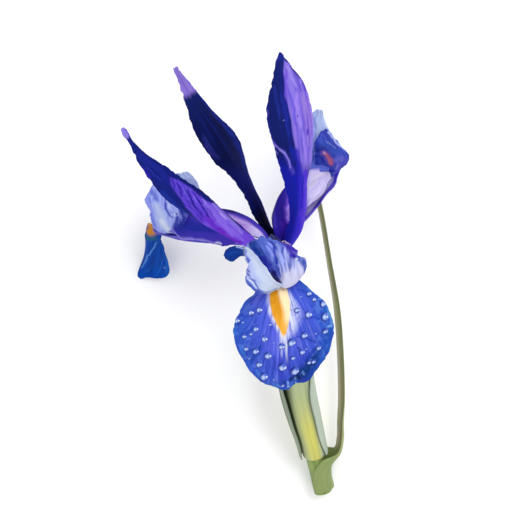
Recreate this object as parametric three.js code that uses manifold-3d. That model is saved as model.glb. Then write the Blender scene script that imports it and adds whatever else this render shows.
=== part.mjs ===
// A cut Dutch iris in flower, lying on its back with its own slim leaf still round the stem.
// Millimetres, +Z up, the flower's stem along -Y. Every petal, style arm, bract and leaf is a
// thin curved blade set out by stations along its midrib, measured from the throat, the point
// where the petals meet.
import * as THREE from 'three';
import Module from 'manifold-3d';

const THROAT = [10.3, 15.7, 44.95]; // the throat above the surface, from the foot of the whole flower
const PETAL_THICKNESS = 0.7; // falls, standards and style arms
const BRACT_THICKNESS = 0.6; // the two papery valves round the bud's base
const LEAF_THICKNESS = 0.7;

// Directions across the three falls and their style arms, about 120 degrees apart round the flower.
const ACROSS_FRONT = [-0.966, -0.238, -0.10];
const ACROSS_LEFT = [0.336, 0.594, -0.731];
const ACROSS_RIGHT = [0.807, -0.128, 0.576];

// Each station is [x, y, z, half width left, half width right, fold, curl left, curl right]: the
// fold is the angle at which both halves leave the midrib and the curl how far each bends beyond
// it, in degrees, positive towards the blade's upper face.
const FALL_FRONT = {
  across: ACROSS_FRONT,
  ruffle: { height: 0.4, waves: 7, phase: 0 },
  stations: [
    [2.8, -5.2, 0.8, 1.5, 1.5, 5, 20, 20],
    [2.3, -4.4, 9, 2.4, 2.4, 25, 40, 40],
    [2.5, -6.3, 18, 3, 3, 20, 35, 35],
    [2.9, -9.8, 26.5, 3.4, 4, 10, 30, 30],
    [3.3, -14, 33.3, 4.4, 7.6, 2, 5, 5],
    [3.5, -16.4, 37, 8.6, 11.6, -4, -12, -12],
    [3.6, -20.6, 39.5, 13.7, 14.8, -6, -16, -16],
    [3.9, -25.4, 40.5, 15.6, 16.6, -6, -16, -16],
    [4.2, -30.5, 40, 16.8, 17.2, -6, -16, -16],
    [4.4, -35.8, 37.5, 16.4, 16.4, -6, -14, -14],
    [4.6, -40.8, 34.5, 14, 13.8, -5, -10, -10],
    [4.8, -44.8, 31.5, 10, 9.8, 0, 0, 0],
    [5, -47.6, 29, 6.3, 6.3, 0, 0, 0],
    [5.1, -49.7, 27, 1.4, 1.2, 0, 0, 0],
  ],
};
const FALL_LEFT = {
  across: ACROSS_LEFT,
  acrossTip: [1.4, -0.8, 0.5],
  ruffle: { height: 0.4, waves: 6, phase: 0 },
  stations: [
    [-1.2, -3, -3.7, 1.5, 1.5, 20, 30, 30],
    [-4.8, -2.7, -4.8, 2.2, 2.2, 30, 30, 30],
    [-8.9, -2.3, -6, 2.8, 2.8, 30, 30, 30],
    [-16.5, -1.8, -8.9, 3, 3.4, 30, 30, 30],
    [-24.1, -1.2, -11.6, 3.1, 3.8, 30, 30, 30],
    [-31.1, -0.3, -14.7, 3.2, 4.2, 20, 30, 30],
    [-36.6, 2.2, -17.4, 3.8, 4.8, 5, 20, 20],
    [-40.2, 4.2, -20, 2.7, 4.2, 0, 20, 0],
    [-41.9, 0.9, -24.5, 2.5, 4.2, 0, 60, 0],
    [-42.4, -2.6, -29.5, 4.6, 5.6, 10, 100, -10],
    [-43, -6.1, -34.5, 5.6, 8, 10, 120, -10],
    [-44.2, -9.3, -39, 5.2, 8.8, 10, 120, -10],
    [-45.8, -11.8, -42.3, 2.2, 3.8, 5, 60, 0],
    [-47, -14, -44.3, 0.8, 0.8, 0, 0, 0],
  ],
};
const FALL_RIGHT = {
  across: ACROSS_RIGHT,
  ruffle: { height: 0.4, waves: 6, phase: 0 },
  stations: [
    [4.8, -0.6, -4.5, 1.5, 1.5, 20, 30, 30],
    [8.2, 2.4, -6, 2.6, 2.6, 30, 30, 30],
    [11.5, 5.8, -9, 3.8, 3.8, 30, 30, 30],
    [14.7, 9.5, -12, 4.6, 4.6, 30, 30, 30],
    [17.5, 13.5, -15, 4.8, 4.6, 25, 30, 30],
    [20, 17.1, -18, 5.2, 3.6, 15, 20, 20],
    [21.5, 20.8, -20.5, 6.2, 2.7, 0, 0, 0],
    [21.9, 24.7, -22.5, 8, 3.9, -10, -20, -20],
    [21.6, 28.3, -25, 9, 6.4, -15, -40, -40],
    [21.4, 31.7, -29, 10, 7.6, -25, -55, -55],
    [21.4, 33.7, -34, 10, 8, -40, -60, -60],
    [21.8, 34, -39, 8, 6.6, -45, -50, -50],
    [22.1, 33.1, -43, 4, 4, -40, -40, -40],
    [22.3, 32.5, -44.5, 1, 1, -40, 0, 0],
  ],
};
const STANDARD_RIGHT = {
  across: [1, 0.05, -0.25],
  ruffle: { height: 0.5, waves: 4, phase: 0 },
  stations: [
    [5.9, -3.1, -1.2, 2, 2.6, -10, -40, -40],
    [7.4, 0.7, 3, 2.2, 5, -12, -40, -40],
    [8.2, 4.7, 7, 2, 6, -14, -40, -50],
    [8.8, 10.9, 13, 3.2, 5.8, -16, -40, -45],
    [9, 17.7, 19, 5.3, 5.2, -18, -35, -35],
    [8.7, 25.4, 24, 7.4, 7, -20, -30, -20],
    [7.8, 33.7, 29, 8.7, 9.4, -22, -20, -15],
    [6.6, 41.3, 32, 8.6, 9.6, -22, -20, -20],
    [5.3, 49, 34, 6.1, 8, -18, -20, -25],
    [3.8, 54.8, 34, 3.1, 4.8, -12, -20, -25],
    [3, 60.1, 33, 0.4, 0.4, -5, 0, 0],
  ],
};
const STANDARD_MIDDLE = {
  across: [0.85, -0.5, 0.1],
  ruffle: { height: 0.5, waves: 4, phase: 1 },
  stations: [
    [1.4, -1.3, -5, 1.4, 1.4, 10, 30, 30],
    [0, 2.4, -5.5, 2.6, 2.6, 12, 30, 30],
    [-1.7, 6.2, -3, 3.2, 3.6, 12, 30, 30],
    [-5.6, 14.1, 5, 3.4, 4.8, 12, 30, 30],
    [-10.4, 22, 12, 4.2, 10, 12, 30, 30],
    [-15.4, 29.7, 17, 6, 12, 12, 25, 25],
    [-20.6, 38.2, 20, 6.1, 7.5, 10, 20, 20],
    [-25.5, 45.6, 22, 3.2, 3.4, 5, 10, 10],
    [-28.5, 51.2, 22, 2.1, 1.7, 0, 0, 0],
    [-31.6, 56.2, 22, 0.9, 0.9, 0, 0, 0],
  ],
};
const STANDARD_LEFT = {
  across: [0.66, 0.75, -0.1],
  ruffle: { height: 0.5, waves: 4, phase: 2 },
  stations: [
    [-0.8, -5, -1, 1.4, 1.4, -10, -40, -40],
    [-5.1, -2.7, 3, 2.2, 2.6, -12, -40, -40],
    [-10.5, 0.6, 8, 3.2, 4.4, -12, -50, -50],
    [-17.1, 5.9, 15, 5, 4.6, -14, -40, -40],
    [-23.6, 10.7, 22, 5.8, 5.4, -14, -35, -35],
    [-29.9, 15.1, 28, 5.8, 5, -14, -30, -30],
    [-35.9, 20.2, 33, 3.9, 3.9, -10, -20, -20],
    [-40.9, 25.5, 36, 2.7, 2, -5, -10, -10],
    [-44.9, 30.6, 38, 1, 0.6, 0, 0, 0],
    [-46.6, 33.1, 39, 1.2, 1.3, 0, 0, 0],
    [-47.9, 35.1, 39, 0.7, 0.7, 0, 0, 0],
  ],
};
// A style arm arches over each fall like a roof and ends in two upturned crest lobes.
const ARM_FRONT = {
  across: ACROSS_FRONT,
  stations: [
    [2.5, -3.5, -1.6, 0.8, 0.8, -10, -20, -20],
    [1.3, -0.7, 6, 2.4, 2.4, -35, -30, -30],
    [0.4, 0.9, 14, 4, 4, -35, -30, -30],
    [0.5, 0.3, 22, 4.8, 4.8, -35, -30, -30],
    [1.4, -2.8, 30, 5.4, 5.4, -30, -30, -30],
    [2.4, -7.2, 36, 5.8, 5.8, -22, -25, -25],
    [3.1, -11.8, 39.3, 5, 5, -14, -20, -20],
    [3.4, -15.2, 41, 2.4, 2.4, -8, -10, -10],
  ],
};
const CREST_FRONT_FAN = {
  across: [0.95, -0.2, 0.1],
  ruffle: { height: 0.5, waves: 3, phase: 1 },
  stations: [
    [3.4, -16, 40.4, 1.2, 1.4, 0, 0, 0],
    [4.2, -13.5, 42, 3.4, 5, 0, 10, -10],
    [3.9, -10, 43, 6, 8.1, 0, 10, -10],
    [2.3, -6.4, 42.5, 8.6, 6.2, 0, 5, -10],
    [0.4, -3.6, 41.5, 10, 4.8, 0, -5, -10],
    [-2, -1.6, 40, 8.8, 3.6, 0, -10, -10],
    [-3.8, -0.2, 38.5, 5, 2, 0, -10, -10],
  ],
};
const CREST_FRONT_PANEL = {
  across: [0.75, 0.6, 0.1],
  acrossTip: [-0.6, 1.4, 0],
  ruffle: { height: 0.5, waves: 3, phase: 0 },
  stations: [
    [3.3, -15.8, 40.4, 1.2, 0.8, 0, 0, 0],
    [0.7, -14.3, 44, 5.2, 1, 0, 10, -10],
    [-2.5, -10.9, 46, 7, 1.7, 0, 20, -10],
    [-4.9, -7.4, 45.5, 3.9, 1.4, 0, 20, -20],
    [-7.4, -4.4, 43.5, 2.4, 1.2, 0, 20, -20],
    [-9.9, -4.8, 40.5, 1.8, 2.2, 0, 10, -10],
    [-12.3, -5.4, 38.6, 2.5, 2.7, 0, 10, -10],
    [-13.9, -6, 37.5, 2.1, 2.2, 0, 10, -10],
    [-15, -6.4, 36.8, 0.7, 0.7, 0, 0, 0],
  ],
};
const ARM_LEFT = {
  across: ACROSS_LEFT,
  stations: [
    [0.7, -2, -2, 1, 1, -30, -20, -20],
    [-1.7, 1.9, 1.4, 3, 2, -42, -20, -20],
    [-5.4, 5.6, 1, 6.5, 3.4, -42, -20, -20],
    [-9.2, 7.8, -1, 11.2, 6.5, -42, -20, -20],
    [-13.6, 9.4, -3, 12.6, 9, -42, -20, -20],
    [-18.8, 10.1, -5, 12.2, 10, -42, -20, -20],
    [-24, 10.4, -7.5, 11.4, 10.4, -42, -20, -20],
    [-29.6, 9.9, -10, 11, 9.6, -42, -20, -20],
    [-34.2, 8.6, -12.5, 9.4, 7.6, -42, -20, -20],
    [-37.7, 6.4, -14, 4.8, 3.6, -42, -20, -20],
  ],
};
const CREST_LEFT_NEAR = {
  across: [0.95, 0.1, 0.2],
  ruffle: { height: 0.5, waves: 3, phase: 0 },
  stations: [
    [-36.6, 2, -13.4, 1.6, 4.6, 0, 0, 0],
    [-36.5, 4.2, -10.5, 4.8, 7, 0, -20, 10],
    [-36.3, 8.6, -7, 5.8, 8.6, 0, -20, 20],
    [-36.3, 12.4, -5, 7.4, 9.4, 0, -20, 30],
    [-36.2, 15.8, -4, 5.7, 9, 0, -20, 30],
    [-35.5, 18.5, -4, 4.4, 6, 0, -20, 30],
    [-34.8, 19.9, -4, 1, 2, 0, -20, 0],
  ],
};
const CREST_LEFT_FAR = {
  across: [0.9, 0.3, 0.1],
  ruffle: { height: 0.5, waves: 3, phase: 0 },
  stations: [
    [-34.8, 5.3, -10.5, 1.6, 1.6, 0, 0, 0],
    [-33.2, 9.1, -14, 5, 5, 0, -20, -20],
    [-31.4, 13.6, -13, 7, 7, 0, -20, -20],
    [-30.3, 17.7, -11.5, 7.4, 6.6, 0, -20, -20],
    [-29.9, 20.5, -10, 6, 4.4, 0, -20, -20],
    [-30.3, 22.8, -10, 2.8, 1.8, 0, -20, -20],
  ],
};
const ARM_RIGHT = {
  across: ACROSS_RIGHT,
  stations: [
    [2.9, -1.3, -2, 1.4, 2, -30, -20, -20],
    [1.5, 2.7, 1, 2.6, 4.8, -42, -20, -20],
    [1.2, 6.8, 1, 3.4, 7.2, -42, -20, -20],
    [2.2, 10.9, -1, 5, 9.4, -42, -20, -20],
    [4.1, 15.4, -3.5, 7.6, 10.3, -42, -20, -20],
    [6.9, 18.9, -6, 9, 10.4, -42, -20, -20],
    [10.4, 21.7, -8.5, 9.4, 10.4, -42, -20, -20],
    [14.2, 23.6, -11, 9, 9.6, -42, -20, -20],
    [17.7, 24.3, -13, 7.4, 7.4, -42, -20, -20],
    [20.6, 23.7, -15, 3.6, 3.6, -42, -20, -20],
  ],
};
const CREST_RIGHT_NEAR = {
  across: [0.85, -0.3, 0.1],
  ruffle: { height: 0.5, waves: 3, phase: 0 },
  stations: [
    [20.3, 21.7, -16, 4.8, 1.2, 0, 0, 0],
    [21.9, 24.6, -12, 7.6, 3.2, 0, -10, -20],
    [22.8, 27.7, -10, 8.4, 5, 0, -10, -20],
    [22.4, 30.4, -9, 8.2, 3.3, 0, -10, -20],
    [21, 33.1, -8, 7, 2.3, 0, -10, -20],
    [19.6, 35.8, -8, 5, 1.6, 0, -10, -20],
    [18.6, 37.5, -8, 1.4, 0.8, 0, 0, 0],
  ],
};
const CREST_RIGHT_FAR = {
  across: [0.95, 0.05, 0.1],
  ruffle: { height: 0.5, waves: 3, phase: 0 },
  stations: [
    [18.7, 23.2, -11.5, 3.2, 1.6, 0, 0, 0],
    [17.8, 27.5, -15, 5, 4.4, 0, -20, -20],
    [17.1, 32.3, -14, 6, 5.5, 0, -20, -20],
    [16.7, 36.7, -12, 5.8, 4.6, 0, -20, -20],
    [17, 41.4, -11, 4.2, 2.2, 0, -20, -20],
    [17.4, 44.4, -10, 1.2, 1, 0, -20, -20],
  ],
};
// The outer valve lies behind and wraps round to the front, over the edges of the inner one.
const SPATHE_OUTER = {
  across: [0.96, 0.25, 0.1],
  stations: [
    [6.6, -25.5, -20, 1, 1, 0, -20, -20],
    [7.2, -31.5, -22.4, 6, 6, 0, -60, -60],
    [8.3, -39.6, -25.3, 10.8, 10.8, 0, -100, -100],
    [9.9, -50.8, -29.8, 14.4, 14.8, 0, -132, -138],
    [12.4, -61.2, -34.1, 13.6, 14, 0, -134, -140],
    [14.5, -69, -37.2, 12, 12.4, 0, -132, -138],
    [15.9, -75, -39.6, 10.5, 10.5, 0, -120, -120],
  ],
};
const SPATHE_INNER = {
  across: [0.96, 0.25, 0.1],
  stations: [
    [6.4, -27, -8.5, 0.9, 0.9, 0, 20, 20],
    [7.3, -34, -11.5, 5, 5, 0, 75, 75],
    [8.6, -44, -15, 7.6, 7.6, 0, 90, 90],
    [10.2, -55, -19.6, 7.8, 7.8, 0, 96, 96],
    [12.7, -65, -24.7, 7.2, 7.2, 0, 96, 96],
    [14.5, -71.5, -28, 6.4, 6.4, 0, 95, 95],
    [15.9, -77, -30.9, 6.1, 6.1, 0, 92, 92],
    [16.2, -78.7, -32.1, 5.9, 5.9, 0, 88, 88],
  ],
};
// The leaf's foot is a sheath round the stem and its blade a narrow channel.
const LEAF = {
  across: [0, -0.42, 0.9],
  acrossTip: [0.9, 0.3, 0.3],
  stations: [
    [23.1, -88.5, -40.2, 9.5, 9.5, 0, 128, 128],
    [22.1, -84, -38.8, 9.5, 9.5, 0, 124, 124],
    [22.3, -80, -38, 8, 8, 0, 108, 108],
    [25.2, -76, -36.8, 3.4, 3.4, 0, 70, 70],
    [26.1, -71, -36.2, 2.6, 2.6, 0, 65, 65],
    [26, -65, -36, 2.2, 2.2, 0, 60, 60],
    [26.1, -55.7, -35, 1.9, 1.9, 0, 40, 40],
    [25.6, -41.4, -34, 1.7, 1.7, 0, 40, 40],
    [24.3, -25.3, -33, 1.5, 1.5, 0, 40, 40],
    [21.4, -8.3, -32, 1.15, 1.15, 0, 40, 40],
    [19, 5.9, -31, 1.05, 1.05, 0, 40, 40],
    [17.5, 13.4, -31, 0.9, 0.9, 0, 40, 40],
    [16.5, 17.8, -31, 0.5, 0.5, 0, 20, 20],
  ],
};

// Rods are stations of [x, y, z, radius]: the stem with the ovary and tube at its top, and the
// stamens, each a thin filament and a thicker anther under its style arm.
const STEM = [
  [2.8, -3.8, -2.9, 4.2],
  [3.4, -6.5, -4.6, 3.4],
  [4.6, -13, -8.4, 2.8],
  [5.9, -21, -12.2, 2.9],
  [7.0, -29, -15.8, 3.6],
  [8.2, -38, -19.2, 3.9],
  [9.3, -47, -23, 3.3],
  [10.6, -55.5, -26.6, 2.8],
  [13.0, -66, -30.8, 2.9],
  [15.5, -75, -34.8, 3.1],
  [17.4, -82.5, -37.9, 3.2],
  [19.3, -90.5, -40.8, 3.2],
];
const STAMEN_FRONT = [
  [2.7, -4.4, -0.5, 0.3],
  [1.75, -2.9, 8, 0.3],
  [1.2, -2.4, 16, 0.5],
  [1.5, -3.2, 21, 0.8],
  [2, -5.2, 26, 0.8],
  [2.4, -7.2, 29.5, 0.4],
];
const STAMEN_LEFT = [
  [0.3, -3.2, -3.6, 0.3],
  [-1.6, -0.8, -3, 0.3],
  [-5.4, 0.8, -3.2, 0.5],
  [-13.5, 3, -5.6, 0.5],
  [-18, 3.8, -7, 0.9],
  [-24, 4.4, -9, 0.9],
  [-29, 4.8, -11, 0.4],
];
const STAMEN_RIGHT = [
  [4, -1.9, -4.1, 0.3],
  [4.1, 0.9, -3.4, 0.3],
  [5, 4.4, -3.6, 0.5],
  [7.6, 9.6, -6, 0.5],
  [9.6, 12.4, -7.8, 0.9],
  [12.4, 16, -10.4, 0.9],
  [14.8, 18.8, -13, 0.4],
];
const STEM_SIDES = 16;
const STAMEN_SIDES = 8;

const radians = THREE.MathUtils.degToRad;
const vector = (values) => new THREE.Vector3(values[0], values[1], values[2]);

/** The values of a table of stations at t, 0 to 1, on a uniform Catmull-Rom curve through its rows. */
function valuesAt(rows, t) {
  const last = rows.length - 1;
  const x = THREE.MathUtils.clamp(t, 0, 1) * last;
  const i = Math.min(Math.floor(x), last - 1);
  const f = x - i;
  return rows[0].map((_, column) => {
    const p1 = rows[i][column];
    const p2 = rows[i + 1][column];
    const p0 = i > 0 ? rows[i - 1][column] : 2 * p1 - p2;
    const p3 = i < last - 1 ? rows[i + 2][column] : 2 * p2 - p1;
    const linear = (p2 - p0) * f;
    const square = (2 * p0 - 5 * p1 + 4 * p2 - p3) * f ** 2;
    const cube = (3 * p1 - p0 - 3 * p2 + p3) * f ** 3;
    return (2 * p1 + linear + square + cube) / 2;
  });
}

/** The unit direction in which a table of stations runs at t. */
function tangentAt(rows, t) {
  const step = 0.001;
  return vector(valuesAt(rows, t + step)).sub(vector(valuesAt(rows, t - step))).normalize();
}

/** The point of a blade's middle surface at t along its midrib and v, -1 to 1, across it. */
function bladePoint(blade, t, v) {
  const [x, y, z, wideLeft, wideRight, fold, curlLeft, curlRight] = valuesAt(blade.stations, t);
  const tangent = tangentAt(blade.stations, t);
  const across = vector(blade.across).lerp(vector(blade.acrossTip ?? blade.across), t);
  across.addScaledVector(tangent, -across.dot(tangent)).normalize();
  const up = new THREE.Vector3().crossVectors(across, tangent);
  const s = Math.abs(v);
  const width = Math.max(v < 0 ? wideLeft : wideRight, 0.4);
  const bend = radians(v < 0 ? curlLeft : curlRight);
  const curl = Math.abs(bend) < 0.001 ? 0.001 : bend;
  const start = radians(fold);
  const outward = (width * (Math.sin(start + curl * s) - Math.sin(start))) / curl;
  let rise = (width * (Math.cos(start) - Math.cos(start + curl * s))) / curl;
  if (blade.ruffle) {
    const { height, waves, phase } = blade.ruffle;
    const side = v < 0 ? 0 : 1.9;
    const fade = Math.min(t / 0.25, 1);
    rise += height * s ** 3 * fade * Math.sin(2 * Math.PI * waves * t + phase + side);
  }
  const midrib = new THREE.Vector3(x, y, z);
  return midrib.addScaledVector(across, Math.sign(v) * outward).addScaledVector(up, rise);
}

/** A closed solid of even thickness round a blade's middle surface. */
function bladeGeometry(blade, thickness, lengthSteps, widthSteps) {
  const rows = [];
  for (let i = 0; i <= lengthSteps; i++) {
    const row = [];
    for (let j = 0; j <= widthSteps; j++) {
      row.push(bladePoint(blade, i / lengthSteps, (2 * j) / widthSteps - 1));
    }
    rows.push(row);
  }
  const points = [];
  const offsets = rows.map((row, i) => row.map((_, j) => {
    const above = rows[Math.min(i + 1, lengthSteps)][j];
    const below = rows[Math.max(i - 1, 0)][j];
    const right = row[Math.min(j + 1, widthSteps)];
    const left = row[Math.max(j - 1, 0)];
    const forward = new THREE.Vector3().subVectors(above, below);
    const sideways = new THREE.Vector3().subVectors(right, left);
    return sideways.cross(forward).setLength(thickness / 2);
  }));
  for (const side of [1, -1]) {
    rows.forEach((row, i) => row.forEach((point, j) => {
      points.push(point.clone().addScaledVector(offsets[i][j], side));
    }));
  }
  const columns = widthSteps + 1;
  const lower = columns * (lengthSteps + 1);
  const index = [];
  for (let i = 0; i < lengthSteps; i++) {
    for (let j = 0; j < widthSteps; j++) {
      const a = i * columns + j;
      const corners = [a, a + 1, a + columns + 1, a, a + columns + 1, a + columns];
      index.push(...corners);
      index.push(...corners.map((corner) => corner + lower).reverse());
    }
  }
  const rim = [];
  for (let j = 0; j < widthSteps; j++) rim.push(j);
  for (let i = 0; i < lengthSteps; i++) rim.push(i * columns + widthSteps);
  for (let j = widthSteps; j > 0; j--) rim.push(lengthSteps * columns + j);
  for (let i = lengthSteps; i > 0; i--) rim.push(i * columns);
  rim.forEach((a, k) => {
    const b = rim[(k + 1) % rim.length];
    index.push(b, a, a + lower, b, a + lower, b + lower);
  });
  return solid(points, index);
}

/** A closed rod of round section through a table of stations. */
function rodGeometry(stations, steps, sides) {
  const points = [];
  const index = [];
  for (let i = 0; i <= steps; i++) {
    const [x, y, z, radius] = valuesAt(stations, i / steps);
    const tangent = tangentAt(stations, i / steps);
    const across = new THREE.Vector3(1, 0.1, 0);
    across.addScaledVector(tangent, -across.dot(tangent)).normalize();
    const up = new THREE.Vector3().crossVectors(across, tangent);
    for (let j = 0; j < sides; j++) {
      const angle = (2 * Math.PI * j) / sides;
      const point = new THREE.Vector3(x, y, z).addScaledVector(across, radius * Math.cos(angle));
      points.push(point.addScaledVector(up, radius * Math.sin(angle)));
    }
  }
  for (let i = 0; i < steps; i++) {
    for (let j = 0; j < sides; j++) {
      const a = i * sides + j;
      const b = i * sides + ((j + 1) % sides);
      index.push(a, a + sides, b + sides, a, b + sides, b);
    }
  }
  for (const [ring, flip] of [[0, false], [steps, true]]) {
    const centre = points.length;
    points.push(vector(valuesAt(stations, ring / steps)));
    for (let j = 0; j < sides; j++) {
      const a = ring * sides + j;
      const b = ring * sides + ((j + 1) % sides);
      index.push(...(flip ? [centre, b, a] : [centre, a, b]));
    }
  }
  return solid(points, index);
}

/** A geometry with shared corners, facing outwards whichever way its triangles were listed. */
function solid(points, index) {
  const geometry = new THREE.BufferGeometry().setFromPoints(points);
  let volume = 0;
  for (let k = 0; k < index.length; k += 3) {
    const [a, b, c] = [points[index[k]], points[index[k + 1]], points[index[k + 2]]];
    volume += a.dot(new THREE.Vector3().crossVectors(b, c));
  }
  geometry.setIndex(volume < 0 ? index.slice().reverse() : index);
  return geometry;
}

const wasm = await Module();
wasm.setup();

/** Several overlapping solids joined into one. */
function joined(geometries) {
  const bodies = geometries.map((geometry) => new wasm.Manifold(new wasm.Mesh({
    numProp: 3,
    vertProperties: Float32Array.from(geometry.getAttribute('position').array),
    triVerts: Uint32Array.from(geometry.getIndex().array),
  })));
  const mesh = bodies.reduce((whole, body) => whole.add(body)).getMesh();
  const geometry = new THREE.BufferGeometry();
  geometry.setAttribute('position', new THREE.BufferAttribute(Float32Array.from(mesh.vertProperties), 3));
  geometry.setIndex(Array.from(mesh.triVerts));
  return geometry;
}

const flower = new THREE.Group();
flower.name = 'iris_flower';

/** Adds a named mesh with its own material, its stations measured from the throat. */
function add(name, geometry, color, roughness) {
  geometry.computeVertexNormals();
  const material = new THREE.MeshStandardMaterial({ color, roughness, metalness: 0, name });
  const mesh = new THREE.Mesh(geometry, material);
  mesh.name = name;
  mesh.position.set(...THROAT);
  flower.add(mesh);
}

const petal = (blade) => bladeGeometry(blade, PETAL_THICKNESS, 20, 6);
const style = (arm, ...lobes) => joined([
  bladeGeometry(arm, PETAL_THICKNESS, 14, 6),
  ...lobes.map((lobe) => bladeGeometry(lobe, PETAL_THICKNESS, 10, 6)),
]);

add('fall_front', bladeGeometry(FALL_FRONT, PETAL_THICKNESS, 24, 8), 0x4051d0, 0.6);
add('fall_left', petal(FALL_LEFT), 0x2446b4, 0.6);
add('fall_right', petal(FALL_RIGHT), 0x3f46c4, 0.6);
add('standard_right', petal(STANDARD_RIGHT), 0x5b46c8, 0.6);
add('standard_middle', petal(STANDARD_MIDDLE), 0x10186a, 0.6);
add('standard_left', petal(STANDARD_LEFT), 0x4a38be, 0.6);
add('style_front', style(ARM_FRONT, CREST_FRONT_FAN, CREST_FRONT_PANEL), 0x9fb0e4, 0.6);
add('style_left', style(ARM_LEFT, CREST_LEFT_NEAR, CREST_LEFT_FAR), 0x7786de, 0.6);
add('style_right', style(ARM_RIGHT, CREST_RIGHT_NEAR, CREST_RIGHT_FAR), 0x7a74d4, 0.6);
add('stamen_front', rodGeometry(STAMEN_FRONT, 10, STAMEN_SIDES), 0xd8cf9a, 0.8);
add('stamen_left', rodGeometry(STAMEN_LEFT, 10, STAMEN_SIDES), 0xd8cf9a, 0.8);
add('stamen_right', rodGeometry(STAMEN_RIGHT, 10, STAMEN_SIDES), 0xd8cf9a, 0.8);
add('stem', rodGeometry(STEM, 20, STEM_SIDES), 0x8fa35c, 0.6);
add('spathe_outer', bladeGeometry(SPATHE_OUTER, BRACT_THICKNESS, 14, 12), 0x9fb08c, 0.7);
add('spathe_inner', bladeGeometry(SPATHE_INNER, BRACT_THICKNESS, 14, 10), 0xbcc59e, 0.7);
add('leaf', bladeGeometry(LEAF, LEAF_THICKNESS, 26, 6), 0x8b926c, 0.7);

export default flower;
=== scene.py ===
"""A cut Dutch iris in flower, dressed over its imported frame.

Metres, in the frame's own axes: the flower lies on its back on the floor, its stem along -Y,
and the camera looks straight down on it. The tables are in millimetres from the throat, the
point where the petals meet.
"""
from collections import namedtuple

import bpy
import numpy as np
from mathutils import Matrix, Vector


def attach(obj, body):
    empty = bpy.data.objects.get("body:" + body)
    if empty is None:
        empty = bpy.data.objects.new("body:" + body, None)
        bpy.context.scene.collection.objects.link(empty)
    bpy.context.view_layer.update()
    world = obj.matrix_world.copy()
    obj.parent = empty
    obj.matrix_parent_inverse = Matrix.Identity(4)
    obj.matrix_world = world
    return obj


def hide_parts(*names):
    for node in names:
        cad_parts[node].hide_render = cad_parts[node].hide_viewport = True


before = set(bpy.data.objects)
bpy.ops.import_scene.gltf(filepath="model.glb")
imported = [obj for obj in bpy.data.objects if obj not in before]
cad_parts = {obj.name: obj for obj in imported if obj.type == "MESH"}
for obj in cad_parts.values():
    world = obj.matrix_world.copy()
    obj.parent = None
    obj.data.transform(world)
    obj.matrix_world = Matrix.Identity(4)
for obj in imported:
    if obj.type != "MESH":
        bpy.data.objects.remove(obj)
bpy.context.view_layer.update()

MM = 0.001
THROAT = np.array([10.3, 15.7, 44.95])

# Each station is [x, y, z, half width left, half width right, fold, curl left, curl right]: the
# fold is the angle at which both halves leave the midrib and the curl how far each bends beyond
# it, in degrees. Right is the side that the direction across points to, and left the other. That
# direction turns evenly from across to across_tip, where there is one. A ruffle is (height, waves,
# phase).
FALL_FRONT = dict(
    across=[-0.966, -0.238, -0.1],
    ruffle=(0.4, 7, 0),
    stations=[
        [2.8, -5.2, 0.8, 1.5, 1.5, 5, 20, 20],
        [2.3, -4.4, 9, 2.4, 2.4, 25, 40, 40],
        [2.5, -6.3, 18, 3, 3, 20, 35, 35],
        [2.9, -9.8, 26.5, 3.4, 4, 10, 30, 30],
        [3.3, -14, 33.3, 4.4, 7.6, 2, 5, 5],
        [3.5, -16.4, 37, 8.6, 11.6, -4, -12, -12],
        [3.6, -20.6, 39.5, 13.7, 14.8, -6, -16, -16],
        [3.9, -25.4, 40.5, 15.6, 16.6, -6, -16, -16],
        [4.2, -30.5, 40, 16.8, 17.2, -6, -16, -16],
        [4.4, -35.8, 37.5, 16.4, 16.4, -6, -14, -14],
        [4.6, -40.8, 34.5, 14, 13.8, -5, -10, -10],
        [4.8, -44.8, 31.5, 10, 9.8, 0, 0, 0],
        [5, -47.6, 29, 6.3, 6.3, 0, 0, 0],
        [5.1, -49.7, 27, 1.4, 1.2, 0, 0, 0],
    ],
)
FALL_LEFT = dict(
    across=[0.336, 0.594, -0.731],
    across_tip=[1.4, -0.8, 0.5],
    ruffle=(0.4, 6, 0),
    stations=[
        [-1.2, -3, -3.7, 1.5, 1.5, 20, 30, 30],
        [-4.8, -2.7, -4.8, 2.2, 2.2, 30, 30, 30],
        [-8.9, -2.3, -6, 2.8, 2.8, 30, 30, 30],
        [-16.5, -1.8, -8.9, 3, 3.4, 30, 30, 30],
        [-24.1, -1.2, -11.6, 3.1, 3.8, 30, 30, 30],
        [-31.1, -0.3, -14.7, 3.2, 4.2, 20, 30, 30],
        [-36.6, 2.2, -17.4, 3.8, 4.8, 5, 20, 20],
        [-40.2, 4.2, -20, 2.7, 4.2, 0, 20, 0],
        [-41.9, 0.9, -24.5, 2.5, 4.2, 0, 60, 0],
        [-42.4, -2.6, -29.5, 4.6, 5.6, 10, 100, -10],
        [-43, -6.1, -34.5, 5.6, 8, 10, 120, -10],
        [-44.2, -9.3, -39, 5.2, 8.8, 10, 120, -10],
        [-45.8, -11.8, -42.3, 2.2, 3.8, 5, 60, 0],
        [-47, -14, -44.3, 0.8, 0.8, 0, 0, 0],
    ],
)
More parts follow.
